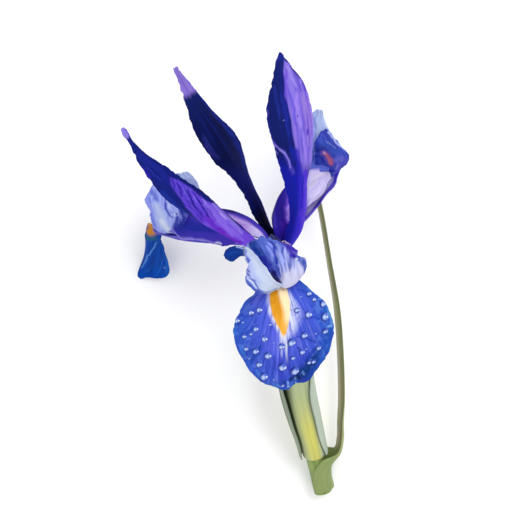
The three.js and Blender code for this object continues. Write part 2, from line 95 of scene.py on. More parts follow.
FALL_RIGHT = dict(
    across=[0.807, -0.128, 0.576],
    ruffle=(0.4, 6, 0),
    stations=[
        [4.8, -0.6, -4.5, 1.5, 1.5, 20, 30, 30],
        [8.2, 2.4, -6, 2.6, 2.6, 30, 30, 30],
        [11.5, 5.8, -9, 3.8, 3.8, 30, 30, 30],
        [14.7, 9.5, -12, 4.6, 4.6, 30, 30, 30],
        [17.5, 13.5, -15, 4.8, 4.6, 25, 30, 30],
        [20, 17.1, -18, 5.2, 3.6, 15, 20, 20],
        [21.5, 20.8, -20.5, 6.2, 2.7, 0, 0, 0],
        [21.9, 24.7, -22.5, 8, 3.9, -10, -20, -20],
        [21.6, 28.3, -25, 9, 6.4, -15, -40, -40],
        [21.4, 31.7, -29, 10, 7.6, -25, -55, -55],
        [21.4, 33.7, -34, 10, 8, -40, -60, -60],
        [21.8, 34, -39, 8, 6.6, -45, -50, -50],
        [22.1, 33.1, -43, 4, 4, -40, -40, -40],
        [22.3, 32.5, -44.5, 1, 1, -40, 0, 0],
    ],
)
STANDARD_RIGHT = dict(
    across=[1, 0.05, -0.25],
    ruffle=(0.5, 4, 0),
    stations=[
        [5.9, -3.1, -1.2, 2, 2.6, -10, -40, -40],
        [7.4, 0.7, 3, 2.2, 5, -12, -40, -40],
        [8.2, 4.7, 7, 2, 6, -14, -40, -50],
        [8.8, 10.9, 13, 3.2, 5.8, -16, -40, -45],
        [9, 17.7, 19, 5.3, 5.2, -18, -35, -35],
        [8.7, 25.4, 24, 7.4, 7, -20, -30, -20],
        [7.8, 33.7, 29, 8.7, 9.4, -22, -20, -15],
        [6.6, 41.3, 32, 8.6, 9.6, -22, -20, -20],
        [5.3, 49, 34, 6.1, 8, -18, -20, -25],
        [3.8, 54.8, 34, 3.1, 4.8, -12, -20, -25],
        [3, 60.1, 33, 0.4, 0.4, -5, 0, 0],
    ],
)
STANDARD_MIDDLE = dict(
    across=[0.85, -0.5, 0.1],
    ruffle=(0.5, 4, 1),
    stations=[
        [1.4, -1.3, -5, 1.4, 1.4, 10, 30, 30],
        [0, 2.4, -5.5, 2.6, 2.6, 12, 30, 30],
        [-1.7, 6.2, -3, 3.2, 3.6, 12, 30, 30],
        [-5.6, 14.1, 5, 3.4, 4.8, 12, 30, 30],
        [-10.4, 22, 12, 4.2, 10, 12, 30, 30],
        [-15.4, 29.7, 17, 6, 12, 12, 25, 25],
        [-20.6, 38.2, 20, 6.1, 7.5, 10, 20, 20],
        [-25.5, 45.6, 22, 3.2, 3.4, 5, 10, 10],
        [-28.5, 51.2, 22, 2.1, 1.7, 0, 0, 0],
        [-31.6, 56.2, 22, 0.9, 0.9, 0, 0, 0],
    ],
)
STANDARD_LEFT = dict(
    across=[0.66, 0.75, -0.1],
    ruffle=(0.5, 4, 2),
    stations=[
        [-0.8, -5, -1, 1.4, 1.4, -10, -40, -40],
        [-5.1, -2.7, 3, 2.2, 2.6, -12, -40, -40],
        [-10.5, 0.6, 8, 3.2, 4.4, -12, -50, -50],
        [-17.1, 5.9, 15, 5, 4.6, -14, -40, -40],
        [-23.6, 10.7, 22, 5.8, 5.4, -14, -35, -35],
        [-29.9, 15.1, 28, 5.8, 5, -14, -30, -30],
        [-35.9, 20.2, 33, 3.9, 3.9, -10, -20, -20],
        [-40.9, 25.5, 36, 2.7, 2, -5, -10, -10],
        [-44.9, 30.6, 38, 1, 0.6, 0, 0, 0],
        [-46.6, 33.1, 39, 1.2, 1.3, 0, 0, 0],
        [-47.9, 35.1, 39, 0.7, 0.7, 0, 0, 0],
    ],
)
ARM_FRONT = dict(
    across=[-0.966, -0.238, -0.1],
    stations=[
        [2.5, -3.5, -1.6, 0.8, 0.8, -10, -20, -20],
        [1.3, -0.7, 6, 2.4, 2.4, -35, -30, -30],
        [0.4, 0.9, 14, 4, 4, -35, -30, -30],
        [0.5, 0.3, 22, 4.8, 4.8, -35, -30, -30],
        [1.4, -2.8, 30, 5.4, 5.4, -30, -30, -30],
        [2.4, -7.2, 36, 5.8, 5.8, -22, -25, -25],
        [3.1, -11.8, 39.3, 5, 5, -14, -20, -20],
        [3.4, -15.2, 41, 2.4, 2.4, -8, -10, -10],
    ],
)
CREST_FRONT_FAN = dict(
    across=[0.95, -0.2, 0.1],
    ruffle=(0.5, 3, 1),
    stations=[
        [3.4, -16, 40.4, 1.2, 1.4, 0, 0, 0],
        [4.2, -13.5, 42, 3.4, 5, 0, 10, -10],
        [3.9, -10, 43, 6, 8.1, 0, 10, -10],
        [2.3, -6.4, 42.5, 8.6, 6.2, 0, 5, -10],
        [0.4, -3.6, 41.5, 10, 4.8, 0, -5, -10],
        [-2, -1.6, 40, 8.8, 3.6, 0, -10, -10],
        [-3.8, -0.2, 38.5, 5, 2, 0, -10, -10],
    ],
)
CREST_FRONT_PANEL = dict(
    across=[0.75, 0.6, 0.1],
    across_tip=[-0.6, 1.4, 0],
    ruffle=(0.5, 3, 0),
    stations=[
        [3.3, -15.8, 40.4, 1.2, 0.8, 0, 0, 0],
        [0.7, -14.3, 44, 5.2, 1, 0, 10, -10],
        [-2.5, -10.9, 46, 7, 1.7, 0, 20, -10],
        [-4.9, -7.4, 45.5, 3.9, 1.4, 0, 20, -20],
        [-7.4, -4.4, 43.5, 2.4, 1.2, 0, 20, -20],
        [-9.9, -4.8, 40.5, 1.8, 2.2, 0, 10, -10],
        [-12.3, -5.4, 38.6, 2.5, 2.7, 0, 10, -10],
        [-13.9, -6, 37.5, 2.1, 2.2, 0, 10, -10],
        [-15, -6.4, 36.8, 0.7, 0.7, 0, 0, 0],
    ],
)
ARM_LEFT = dict(
    across=[0.336, 0.594, -0.731],
    stations=[
        [0.7, -2, -2, 1, 1, -30, -20, -20],
        [-1.7, 1.9, 1.4, 3, 2, -42, -20, -20],
        [-5.4, 5.6, 1, 6.5, 3.4, -42, -20, -20],
        [-9.2, 7.8, -1, 11.2, 6.5, -42, -20, -20],
        [-13.6, 9.4, -3, 12.6, 9, -42, -20, -20],
        [-18.8, 10.1, -5, 12.2, 10, -42, -20, -20],
        [-24, 10.4, -7.5, 11.4, 10.4, -42, -20, -20],
        [-29.6, 9.9, -10, 11, 9.6, -42, -20, -20],
        [-34.2, 8.6, -12.5, 9.4, 7.6, -42, -20, -20],
        [-37.7, 6.4, -14, 4.8, 3.6, -42, -20, -20],
    ],
)
CREST_LEFT_NEAR = dict(
    across=[0.95, 0.1, 0.2],
    ruffle=(0.5, 3, 0),
    stations=[
        [-36.6, 2, -13.4, 1.6, 4.6, 0, 0, 0],
        [-36.5, 4.2, -10.5, 4.8, 7, 0, -20, 10],
        [-36.3, 8.6, -7, 5.8, 8.6, 0, -20, 20],
        [-36.3, 12.4, -5, 7.4, 9.4, 0, -20, 30],
        [-36.2, 15.8, -4, 5.7, 9, 0, -20, 30],
        [-35.5, 18.5, -4, 4.4, 6, 0, -20, 30],
        [-34.8, 19.9, -4, 1, 2, 0, -20, 0],
    ],
)
CREST_LEFT_FAR = dict(
    across=[0.9, 0.3, 0.1],
    ruffle=(0.5, 3, 0),
    stations=[
        [-34.8, 5.3, -10.5, 1.6, 1.6, 0, 0, 0],
        [-33.2, 9.1, -14, 5, 5, 0, -20, -20],
        [-31.4, 13.6, -13, 7, 7, 0, -20, -20],
        [-30.3, 17.7, -11.5, 7.4, 6.6, 0, -20, -20],
        [-29.9, 20.5, -10, 6, 4.4, 0, -20, -20],
        [-30.3, 22.8, -10, 2.8, 1.8, 0, -20, -20],
    ],
)
ARM_RIGHT = dict(
    across=[0.807, -0.128, 0.576],
    stations=[
        [2.9, -1.3, -2, 1.4, 2, -30, -20, -20],
        [1.5, 2.7, 1, 2.6, 4.8, -42, -20, -20],
        [1.2, 6.8, 1, 3.4, 7.2, -42, -20, -20],
        [2.2, 10.9, -1, 5, 9.4, -42, -20, -20],
        [4.1, 15.4, -3.5, 7.6, 10.3, -42, -20, -20],
        [6.9, 18.9, -6, 9, 10.4, -42, -20, -20],
        [10.4, 21.7, -8.5, 9.4, 10.4, -42, -20, -20],
        [14.2, 23.6, -11, 9, 9.6, -42, -20, -20],
        [17.7, 24.3, -13, 7.4, 7.4, -42, -20, -20],
        [20.6, 23.7, -15, 3.6, 3.6, -42, -20, -20],
    ],
)
CREST_RIGHT_NEAR = dict(
    across=[0.85, -0.3, 0.1],
    ruffle=(0.5, 3, 0),
    stations=[
        [20.3, 21.7, -16, 4.8, 1.2, 0, 0, 0],
        [21.9, 24.6, -12, 7.6, 3.2, 0, -10, -20],
        [22.8, 27.7, -10, 8.4, 5, 0, -10, -20],
        [22.4, 30.4, -9, 8.2, 3.3, 0, -10, -20],
        [21, 33.1, -8, 7, 2.3, 0, -10, -20],
        [19.6, 35.8, -8, 5, 1.6, 0, -10, -20],
        [18.6, 37.5, -8, 1.4, 0.8, 0, 0, 0],
    ],
)
CREST_RIGHT_FAR = dict(
    across=[0.95, 0.05, 0.1],
    ruffle=(0.5, 3, 0),
    stations=[
        [18.7, 23.2, -11.5, 3.2, 1.6, 0, 0, 0],
        [17.8, 27.5, -15, 5, 4.4, 0, -20, -20],
        [17.1, 32.3, -14, 6, 5.5, 0, -20, -20],
        [16.7, 36.7, -12, 5.8, 4.6, 0, -20, -20],
        [17, 41.4, -11, 4.2, 2.2, 0, -20, -20],
        [17.4, 44.4, -10, 1.2, 1, 0, -20, -20],
    ],
)
SPATHE_OUTER = dict(
    across=[0.96, 0.25, 0.1],
    stations=[
        [6.6, -25.5, -20, 1, 1, 0, -20, -20],
        [7.2, -31.5, -22.4, 6, 6, 0, -60, -60],
        [8.3, -39.6, -25.3, 10.8, 10.8, 0, -100, -100],
        [9.9, -50.8, -29.8, 14.4, 14.8, 0, -132, -138],
        [12.4, -61.2, -34.1, 13.6, 14, 0, -134, -140],
        [14.5, -69, -37.2, 12, 12.4, 0, -132, -138],
        [15.9, -75, -39.6, 10.5, 10.5, 0, -120, -120],
    ],
)
SPATHE_INNER = dict(
    across=[0.96, 0.25, 0.1],
    stations=[
        [6.4, -27, -8.5, 0.9, 0.9, 0, 20, 20],
        [7.3, -34, -11.5, 5, 5, 0, 75, 75],
        [8.6, -44, -15, 7.6, 7.6, 0, 90, 90],
        [10.2, -55, -19.6, 7.8, 7.8, 0, 96, 96],
        [12.7, -65, -24.7, 7.2, 7.2, 0, 96, 96],
        [14.5, -71.5, -28, 6.4, 6.4, 0, 95, 95],
        [15.9, -77, -30.9, 6.1, 6.1, 0, 92, 92],
        [16.2, -78.7, -32.1, 5.9, 5.9, 0, 88, 88],
    ],
)
LEAF = dict(
    across=[0, -0.42, 0.9],
    across_tip=[0.9, 0.3, 0.3],
    stations=[
        [23.1, -88.5, -40.2, 9.5, 9.5, 0, 128, 128],
        [22.1, -84, -38.8, 9.5, 9.5, 0, 124, 124],
        [22.3, -80, -38, 8, 8, 0, 108, 108],
        [25.2, -76, -36.8, 3.4, 3.4, 0, 70, 70],
        [26.1, -71, -36.2, 2.6, 2.6, 0, 65, 65],
        [26, -65, -36, 2.2, 2.2, 0, 60, 60],
        [26.1, -55.7, -35, 1.9, 1.9, 0, 40, 40],
        [25.6, -41.4, -34, 1.7, 1.7, 0, 40, 40],
        [24.3, -25.3, -33, 1.5, 1.5, 0, 40, 40],
        [21.4, -8.3, -32, 1.15, 1.15, 0, 40, 40],
        [19, 5.9, -31, 1.05, 1.05, 0, 40, 40],
        [17.5, 13.4, -31, 0.9, 0.9, 0, 40, 40],
        [16.5, 17.8, -31, 0.5, 0.5, 0, 20, 20],
    ],
)

# Each row of the stem and of a stamen is [x, y, z, radius].
STEM = [
    [2.8, -3.8, -2.9, 4.2],
    [3.4, -6.5, -4.6, 3.4],
    [4.6, -13, -8.4, 2.8],
    [5.9, -21, -12.2, 2.9],
    [7, -29, -15.8, 3.6],
    [8.2, -38, -19.2, 3.9],
    [9.3, -47, -23, 3.3],
    [10.6, -55.5, -26.6, 2.8],
    [13, -66, -30.8, 2.9],
    [15.5, -75, -34.8, 3.1],
    [17.4, -82.5, -37.9, 3.2],
    [19.3, -90.5, -40.8, 3.2],
]
STAMEN_FRONT = [
    [2.7, -4.4, -0.5, 0.3],
    [1.75, -2.9, 8, 0.3],
    [1.2, -2.4, 16, 0.5],
    [1.5, -3.2, 21, 0.8],
    [2, -5.2, 26, 0.8],
    [2.4, -7.2, 29.5, 0.4],
]
STAMEN_LEFT = [
    [0.3, -3.2, -3.6, 0.3],
    [-1.6, -0.8, -3, 0.3],
    [-5.4, 0.8, -3.2, 0.5],
    [-13.5, 3, -5.6, 0.5],
    [-18, 3.8, -7, 0.9],
    [-24, 4.4, -9, 0.9],
    [-29, 4.8, -11, 0.4],
]
STAMEN_RIGHT = [
    [4, -1.9, -4.1, 0.3],
    [4.1, 0.9, -3.4, 0.3],
    [5, 4.4, -3.6, 0.5],
    [7.6, 9.6, -6, 0.5],
    [9.6, 12.4, -7.8, 0.9],
    [12.4, 16, -10.4, 0.9],
    [14.8, 18.8, -13, 0.4],
]


# ---------------------------------------------------------------- shapes

def ease(x, low, high):
    """0 below low, 1 above high, with a smooth rise between them."""
    s = np.clip((x - low) / (high - low), 0, 1)
    return s * s * (3 - 2 * s)


def hump(x, centre, width):
    """1 at the centre, falling smoothly to 0 at the width on either side."""
    return 1 - ease(np.abs(x - centre), 0, width)


def unit(vectors):
    """The same directions with length 1."""
    return vectors / np.maximum(np.linalg.norm(vectors, axis=-1, keepdims=True), 1e-9)


def mottle(x, y, seed):
    """Smooth noise from 0 to 1: random values on a whole-number lattice, eased between its corners."""
    side = 97
    table = np.random.default_rng(seed).random((side, side))
    x, y = np.broadcast_arrays(x, y)
    i, j = np.floor(x).astype(int), np.floor(y).astype(int)
    fx, fy = ease(x - i, 0, 1), ease(y - j, 0, 1)
    low = table[i % side, j % side] * (1 - fx) + table[(i + 1) % side, j % side] * fx
    high = table[i % side, (j + 1) % side] * (1 - fx) + table[(i + 1) % side, (j + 1) % side] * fx
    return low * (1 - fy) + high * fy


def fibres(across, along, seed):
    """Long thin streaks from 0 to 1: two sizes of mottle stretched along the blade."""
    return 0.6 * mottle(across, along, seed) + 0.4 * mottle(across * 2.3 + 7, along * 1.7, seed + 1)


def stations_at(rows, t):
    """The stations' values at t, 0 to 1, on a uniform Catmull-Rom curve through them."""
    rows = np.asarray(rows, float)
    last = len(rows) - 1
    padded = np.vstack([2 * rows[0] - rows[1], rows, 2 * rows[-1] - rows[-2]])
    x = np.clip(t, 0, 1) * last
    i = np.minimum(x.astype(int), last - 1)
    f = (x - i)[:, None]
    a, b, c, d = padded[i], padded[i + 1], padded[i + 2], padded[i + 3]
    square, cube = 2 * a - 5 * b + 4 * c - d, 3 * b - a - 3 * c + d
    return (2 * b + (c - a) * f + square * f**2 + cube * f**3) / 2


def direction_at(rows, t):
    """The unit direction in which the stations run at t."""
    step = 0.001
    return unit((stations_at(rows, t + step) - stations_at(rows, t - step))[:, :3])


def blade_surface(blade, t, v, relief):
    """The middle surface of a blade at t along its midrib and v, -1 to 1, across it.

    The midrib runs through the stations. Each half leaves it at the fold angle and bends by its
    curl in an even arc, the margin waves up and down by the ruffle, and the relief, in
    millimetres, is added at right angles to the midrib.
    """
    least_width, least_curl = 0.4, 0.001
    row = stations_at(blade["stations"], t)
    tangent = direction_at(blade["stations"], t)
    first = np.asarray(blade["across"], float)
    last = np.asarray(blade.get("across_tip", blade["across"]), float)
    across = first + (last - first) * t[:, None]
    across = unit(across - (across * tangent).sum(1)[:, None] * tangent)
    up = np.cross(across, tangent)
    s, left = np.abs(v)[None, :], (v < 0)[None, :]
    width = np.maximum(np.where(left, row[:, 3:4], row[:, 4:5]), least_width)
    curl = np.radians(np.where(left, row[:, 6:7], row[:, 7:8]))
    curl = np.where(np.abs(curl) < least_curl, least_curl, curl)
    fold = np.radians(row[:, 5:6])
    outward = width * (np.sin(fold + curl * s) - np.sin(fold)) / curl
    rise = width * (np.cos(fold) - np.cos(fold + curl * s)) / curl
    if "ruffle" in blade:
        height, waves, phase = blade["ruffle"]
        side = np.where(left, 0, 1.9)
        fade = np.minimum(t / 0.25, 1)[:, None]
        rise = rise + height * s**3 * fade * np.sin(2 * np.pi * waves * t[:, None] + phase + side)
    rise = rise + relief
    outward = np.sign(v)[None, :] * outward
    return row[:, None, :3] + across[:, None] * outward[..., None] + up[:, None] * rise[..., None]


def spread(blade, t, v):
    """Distances in millimetres across (from the midrib) and along (from the foot) a blade."""
    row = stations_at(blade["stations"], t)
    width = np.where((v < 0)[None, :], row[:, 3:4], row[:, 4:5])
    steps = np.linalg.norm(np.diff(row[:, :3], axis=0), axis=1)
    along = np.concatenate([[0], np.cumsum(steps)])
    return v[None, :] * width, np.broadcast_to(along[:, None], (len(t), len(v)))


# One closed skin: its points in millimetres from the throat, its faces as lists of corners, each
# point's place [across, along] from 0 to 1 and each point's colour.
Skin = namedtuple("Skin", "points faces place tint")


def normals_of(points):
    """The unit normals of a grid of points."""
    return unit(np.cross(np.gradient(points, axis=1), np.gradient(points, axis=0)))


def skin_of(points, thickness, place, upper_tint, lower_tint):
    """A closed skin: a grid of points moved half its thickness either way along its normals.

    Its two faces are joined by a wall round the rim, where the thickness has run out to a thin
    edge, so the wall is narrow.
    """
    rows, columns = points.shape[:2]
    half = normals_of(points) * thickness[..., None] / 2
    number = np.arange(rows * columns).reshape(rows, columns)
    top = np.stack([number[:-1, :-1], number[:-1, 1:], number[1:, 1:], number[1:, :-1]], -1)
    top = top.reshape(-1, 4)
    bottom = top[:, ::-1] + rows * columns
    rim = np.concatenate([number[0, :-1], number[:-1, -1], number[-1, :0:-1], number[:0:-1, 0]])
    after = np.roll(rim, -1)
    wall = np.stack([after, rim, rim + rows * columns, after + rows * columns], -1)
    both = np.concatenate([(points + half).reshape(-1, 3), (points - half).reshape(-1, 3)])
    tint = np.concatenate([upper_tint.reshape(-1, 3), lower_tint.reshape(-1, 3)])
    place = np.concatenate([place.reshape(-1, 2)] * 2)
    return Skin(both, np.concatenate([top, bottom, wall]).tolist(), place, tint)


def ring_faces(rings, corners):
    """Four-cornered faces between neighbouring rings of points, which are numbered ring by ring."""
    number = np.arange(rings * corners).reshape(rings, corners)
    beside = np.roll(number, -1, axis=1)
    return np.stack([number[:-1], number[1:], beside[1:], beside[:-1]], -1).reshape(-1, 4).tolist()


def sampled(grid, row, column):
    """Values of a grid at fractional rows and columns, linear between its points."""
    i = np.clip(row.astype(int), 0, grid.shape[0] - 2)
    j = np.clip(column.astype(int), 0, grid.shape[1] - 2)
    shape = row.shape + (1,) * (grid.ndim - 2)
    f, g = (row - i).reshape(shape), (column - j).reshape(shape)
    near = grid[i, j] * (1 - g) + grid[i, j + 1] * g
    far = grid[i + 1, j] * (1 - g) + grid[i + 1, j + 1] * g
    return near * (1 - f) + far * f


def torn(blade, t, v, along, rag, nicks):
    """Where on the blade each grid point lies once its margin is uneven.

    The margin is drawn in by up to the rag, in millimetres, with smooth noise, and by each nick:
    its t, its side (-1 left, 1 right, 0 the end, whose place is then v), its depth in
    millimetres and its reach. A nick of negative depth pushes the margin out instead.
    """
    least_width = 1
    row = stations_at(blade["stations"], t[:, 0])
    width = np.maximum(np.where(v < 0, row[:, 3:4], row[:, 4:5]), least_width)
    side_noise = np.sign(v) + 3
    noise = 0.6 * mottle(along * 0.9, side_noise, 7) + 0.4 * mottle(along * 2.1 + 40, side_noise, 8)
    side_pull = rag * noise * ease(t, 0.02, 0.12)
    end_pull = rag * mottle(v * 6 + 20, t * 0, 9)
    for place, side, depth, reach in nicks:
        if side:
            side_pull = side_pull + depth * hump(t, place, reach) * (np.sign(v) == side)
        else:
            end_pull = end_pull + depth * hump(v, place, reach)
    return t - end_pull / along[-1, 0] * ease(t, 0.7, 1), v * (1 - side_pull / width * np.abs(v)**4)


def blade_skin(blade, size, thickness, edge, paint, relief, rag=0, nicks=()):
    """A blade's closed skin on a grid of a size.

    Its thickness eases down to a fine edge at its margins and ends, with the root of 1 less the
    fifth power of the share of its half width.
    """
    t, v = np.linspace(0, 1, size[0]), np.linspace(-1, 1, size[1])
    across, along = spread(blade, t, v)
    grid_t, grid_v = np.meshgrid(t, v, indexing="ij")
    points = blade_surface(blade, t, v, relief(grid_t, grid_v, across, along))
    inner = (1 - np.abs(grid_v)**5) * ease(1 - grid_t, 0, 0.03) * ease(grid_t, -0.02, 0.02)
    depth = edge + (thickness - edge) * np.sqrt(np.clip(inner, 0, 1))
    torn_t, torn_v = torn(blade, grid_t, grid_v, along, rag, nicks)
    row, column = torn_t * (size[0] - 1), (torn_v + 1) / 2 * (size[1] - 1)
    points, across, along = [sampled(grid, row, column) for grid in (points, across, along)]
    upper, lower = paint(torn_t, torn_v, across, along)
    return skin_of(points, depth, np.stack([(torn_v + 1) / 2, torn_t], -1), upper, lower)


def rod_skin(stations, size, paint, bumps):
    """A closed rod: rings of the stations' radius, raised by the bumps, round the line through them.

    One more ring at each end, a little narrower and a little further out, rounds the end in.
    """
    cap_share, cap_reach = 0.8, 0.12
    t = np.linspace(0, 1, size[0])
    row = stations_at(stations, t)
    tangent = direction_at(stations, t)
    aside = np.array([1, 0.1, 0])
    across = unit(aside - (tangent @ aside)[:, None] * tangent)
    up = np.cross(across, tangent)
    angle = 2 * np.pi * np.arange(size[1]) / size[1]
    grid_t, grid_angle = np.meshgrid(t, angle, indexing="ij")
    radius = row[:, 3:4] * np.ones_like(grid_angle) + bumps(grid_t, grid_angle)
    ring = np.cos(grid_angle)[..., None] * across[:, None] + np.sin(grid_angle)[..., None] * up[:, None]
    points = row[:, None, :3] + ring * radius[..., None]
    first, last = [row[i, :3] + ring[i] * radius[i][:, None] * cap_share + way * tangent[i] * cap_reach
                   for i, way in ((0, -1), (-1, 1))]
    points = np.concatenate([first[None], points, last[None]])
    tint = paint(grid_t, grid_angle)
    place = np.stack([grid_angle / (2 * np.pi), grid_t], -1)
    tint, place = [np.concatenate([grid[:1], grid, grid[-1:]]) for grid in (tint, place)]
    rings, corners = points.shape[:2]
    number = np.arange(rings * corners).reshape(rings, corners)
    caps = [number[0].tolist(), number[-1, ::-1].tolist()]
    faces = ring_faces(rings, corners) + caps
    return Skin(points.reshape(-1, 3), faces, place.reshape(-1, 2), tint.reshape(-1, 3))


def make_piece(name, skins, material, node):
    """One object from closed skins, with its colours as the attribute tint and its place as a UV map."""
    faces, start = [], 0
    for skin in skins:
        faces += [[corner + start for corner in face] for face in skin.faces]
        start += len(skin.points)
    points, place, tint = [np.concatenate([getattr(skin, part) for skin in skins])
                           for part in ("points", "place", "tint")]
    mesh = bpy.data.meshes.new(name)
    mesh.from_pydata(((points + THROAT) * MM).tolist(), [], faces)
    tint = np.concatenate([np.clip(tint * PIGMENT, 0, 1), np.ones((len(tint), 1))], 1)
    mesh.color_attributes.new("tint", "FLOAT_COLOR", "POINT").data.foreach_set("color", tint.ravel())
    corners = np.empty(len(mesh.loops), int)
    mesh.loops.foreach_get("vertex_index", corners)
    mesh.uv_layers.new(name="place").data.foreach_set("uv", place[corners].ravel())
    mesh.polygons.foreach_set("use_smooth", np.ones(len(mesh.polygons), bool))
    mesh.materials.append(material)
    mesh.validate()
    mesh.update()
    piece = bpy.data.objects.new(name, mesh)
    bpy.context.scene.collection.objects.link(piece)
    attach(piece, "root")
    if node:
        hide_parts(node)


# ---------------------------------------------------------------- colours

# How much of each tint's light the pieces give back, which sets how deep all the colours look.
PIGMENT = 0.84


def tone(code):
    """A linear colour from a six-figure code."""
    value = np.array([int(code[i:i + 2], 16) for i in (0, 2, 4)]) / 255
    return np.where(value <= 0.04045, value / 12.92, ((value + 0.055) / 1.055)**2.4)


def over(under, colour, amount):
    """A colour laid over another by an amount from 0 to 1 at each point.

    Either colour is a six-figure code, the same everywhere, or a grid of colours.
    """
    under, colour = [tone(part) if isinstance(part, str) else part for part in (under, colour)]
    return under + (colour - under) * np.clip(amount, 0, 1)[..., None]


def layered(under, layers):
    """A colour with others laid over it in turn, each by its own amount."""
    for colour, amount in layers:
        under = over(under, colour, amount)
    return under


def veined(under, v, along, dark, amount, count, seed):
    """A colour crossed by fine dark veins that run lengthwise, about a count of them to each half."""
    return over(under, dark, amount * ease(fibres((v + 2) * count, along * 0.12, seed), 0.45, 0.8))


def stroke(across, along, path, width):
    """A brush line on a blade: 1 along the path, easing to 0 at the width to either side of it.

    The path's points and the width are in millimetres across and along the blade. The line narrows
    towards both ends, most of all when it is slender.
    """
    path = np.asarray(path, float)
    steps = np.diff(path, axis=0)
    lengths = np.hypot(steps[:, 0], steps[:, 1])
    nearest, place = np.full(across.shape, np.inf), np.zeros(across.shape)
    for start, step, length, before in zip(path[:-1], steps, lengths, np.cumsum(lengths) - lengths):
        x, y = across - start[0], along - start[1]
        share = np.clip((x * step[0] + y * step[1]) / length**2, 0, 1)
        gap = np.hypot(x - share * step[0], y - share * step[1])
        place = np.where(gap < nearest, before + share * length, place)
        nearest = np.minimum(nearest, gap)
    middle = 2 * place / lengths.sum() - 1
    reach = width * (1 - (0.65 if width < 1 else 0.25) * middle**4)
    return 1 - ease(nearest, 0.2 * reach, 1.2 * reach)


def brushed(face, across, along, marks):
    """A face with brush lines laid over it: each has a path, a width, a colour and how much it covers.

    Slow noise bends the lines a little and makes them stronger and weaker along their length.
    """
    bent = across + 0.5 * (mottle(along * 0.55 + 11, across * 0.6 + 17, 121) - 0.5)
    bent_along = along + 0.8 * (mottle(along * 0.6 + 31, across * 0.7 + 37, 122) - 0.5)
    grain = np.minimum(0.65 + 0.7 * mottle(across * 2.2 + 40, along * 0.8, 123), 1.05)
    for path, width, colour, cover in marks:
        face = over(face, colour, cover * grain * stroke(bent, bent_along, path, width))
    return face


# ---------------------------------------------------------------- petals and style arms

# Amber and cream, the colours of the signal that marks each fall.
AMBER, CREAM = "e09a20", "ffe6b8"
# The half widths of the front fall's signal on its left and right as seen from above, as shares of
# the fall's own, at these places along it.
SIGNAL_T = [0.33, 0.39, 0.465, 0.52, 0.57, 0.61, 0.65]
SIGNAL_LEFT = [0.38, 0.36, 0.29, 0.235, 0.15, 0.07, 0]
SIGNAL_RIGHT = [0.16, 0.19, 0.20, 0.165, 0.11, 0.06, 0]


def front_fan(across, along):
    """The angle at which the veins of the front fall fan out from a point below its signal's foot."""
    signal_foot, set_back, least = 36, 6, 0.5
    return np.arctan2(across, np.maximum(along - signal_foot, least) + set_back)


# Each brush line is (path, width, colour, cover), its path and width in millimetres: the path's
# points are [across, along], measured from the midrib and from the foot.
FALL_FRONT_MARKS = [
    # Painted shade in the furrows of the pleats low on the right.
    ([(-9.8, 65.6), (-7.5, 68.3), (-5.4, 70.2), (-3.4, 72.6)], 2.4, "04306e", 0.9),
    ([(-11.6, 62.6), (-9.6, 65.4)], 1.4, "0a3a80", 0.8),
    ([(-3.7, 70.9), (-4.7, 73.3)], 0.9, "021f60", 0.95),
    ([(-1.4, 73.8), (-2.1, 71.2)], 0.9, "052c78", 0.9),
    ([(0.8, 75.6), (0.6, 72.8)], 0.7, "0a3480", 0.8),
    # Painted highlights on the ridges of those pleats.
    ([(-0.4, 75.4), (-0.6, 73.4)], 0.5, "8fb4e8", 0.7),
    ([(-3, 74), (-3.2, 72.4)], 0.5, "7aa0e0", 0.7),
    ([(-6.2, 71), (-5.6, 69.6)], 0.5, "6f98dc", 0.6),
    ([(-9.4, 66.6), (-8.4, 65.2)], 0.5, "5f8ad4", 0.6),
    ([(-12.2, 61.6), (-10.8, 60.6)], 0.5, "5f8ad4", 0.6),
    ([(-6.6, 66.5), (-9.2, 62.6), (-11.6, 60.7)], 0.7, "16389c", 0.8),
    ([(-4.1, 59.5), (-5.8, 63), (-7, 66.8)], 0.7, "2036a8", 0.8),
    ([(-0.2, 61.5), (-0.9, 66), (-1.5, 70.8)], 0.7, "2f3cb4", 0.8),
    ([(3.1, 62.7), (3.8, 67), (4.3, 71)], 0.7, "2c40ae", 0.8),
    ([(5.6, 61), (7.4, 67)], 0.6, "2a44ac", 0.7),
    ([(7.3, 59.2), (9.2, 62.8), (11.2, 66.4)], 0.7, "1c44a4", 0.8),
    ([(8.5, 51.6), (11.4, 54.4), (14.5, 56.8)], 0.7, "2246ae", 0.7),
    ([(-5.4, 50.6), (-8.4, 50.2), (-12.2, 50.2)], 0.7, "2240ae", 0.7),
    ([(-4.2, 55.7), (-7.4, 57.2), (-10.9, 59.7)], 0.7, "1e3aa6", 0.8),
    ([(-4.9, 40.3), (-8.4, 41), (-10.4, 42.5), (-12.6, 45.4)], 0.7, "2240aa", 0.7),
    ([(7.4, 44.6), (10.6, 46.4), (13.6, 49.4)], 0.7, "2c48b6", 0.6),
    ([(-14.4, 46), (-15.4, 50), (-15.8, 54)], 0.8, "5f97d8", 0.6),
    ([(-14.8, 49.2), (-13.6, 49.6)], 0.6, "a8c8f4", 0.7),
    ([(-15.6, 53.2), (-14.2, 53.6)], 0.5, "8fb8ee", 0.7),
    ([(-12.8, 43), (-11.6, 43.8)], 0.5, "8fb0f0", 0.6),
    ([(-11.8, 40.6), (-10.4, 41.6)], 0.5, "8fb0f0", 0.6),
    ([(16, 48), (16.6, 52), (16.2, 57)], 0.7, "2f6fc4", 0.6),
    ([(14.6, 60.6), (13, 63.6)], 0.7, "3a74c8", 0.6),
    ([(9.6, 68.4), (6.6, 71.6)], 0.7, "4a86d0", 0.5),
    ([(3.2, 74.4), (1.4, 75.8)], 0.6, "5a90d8", 0.6),
]


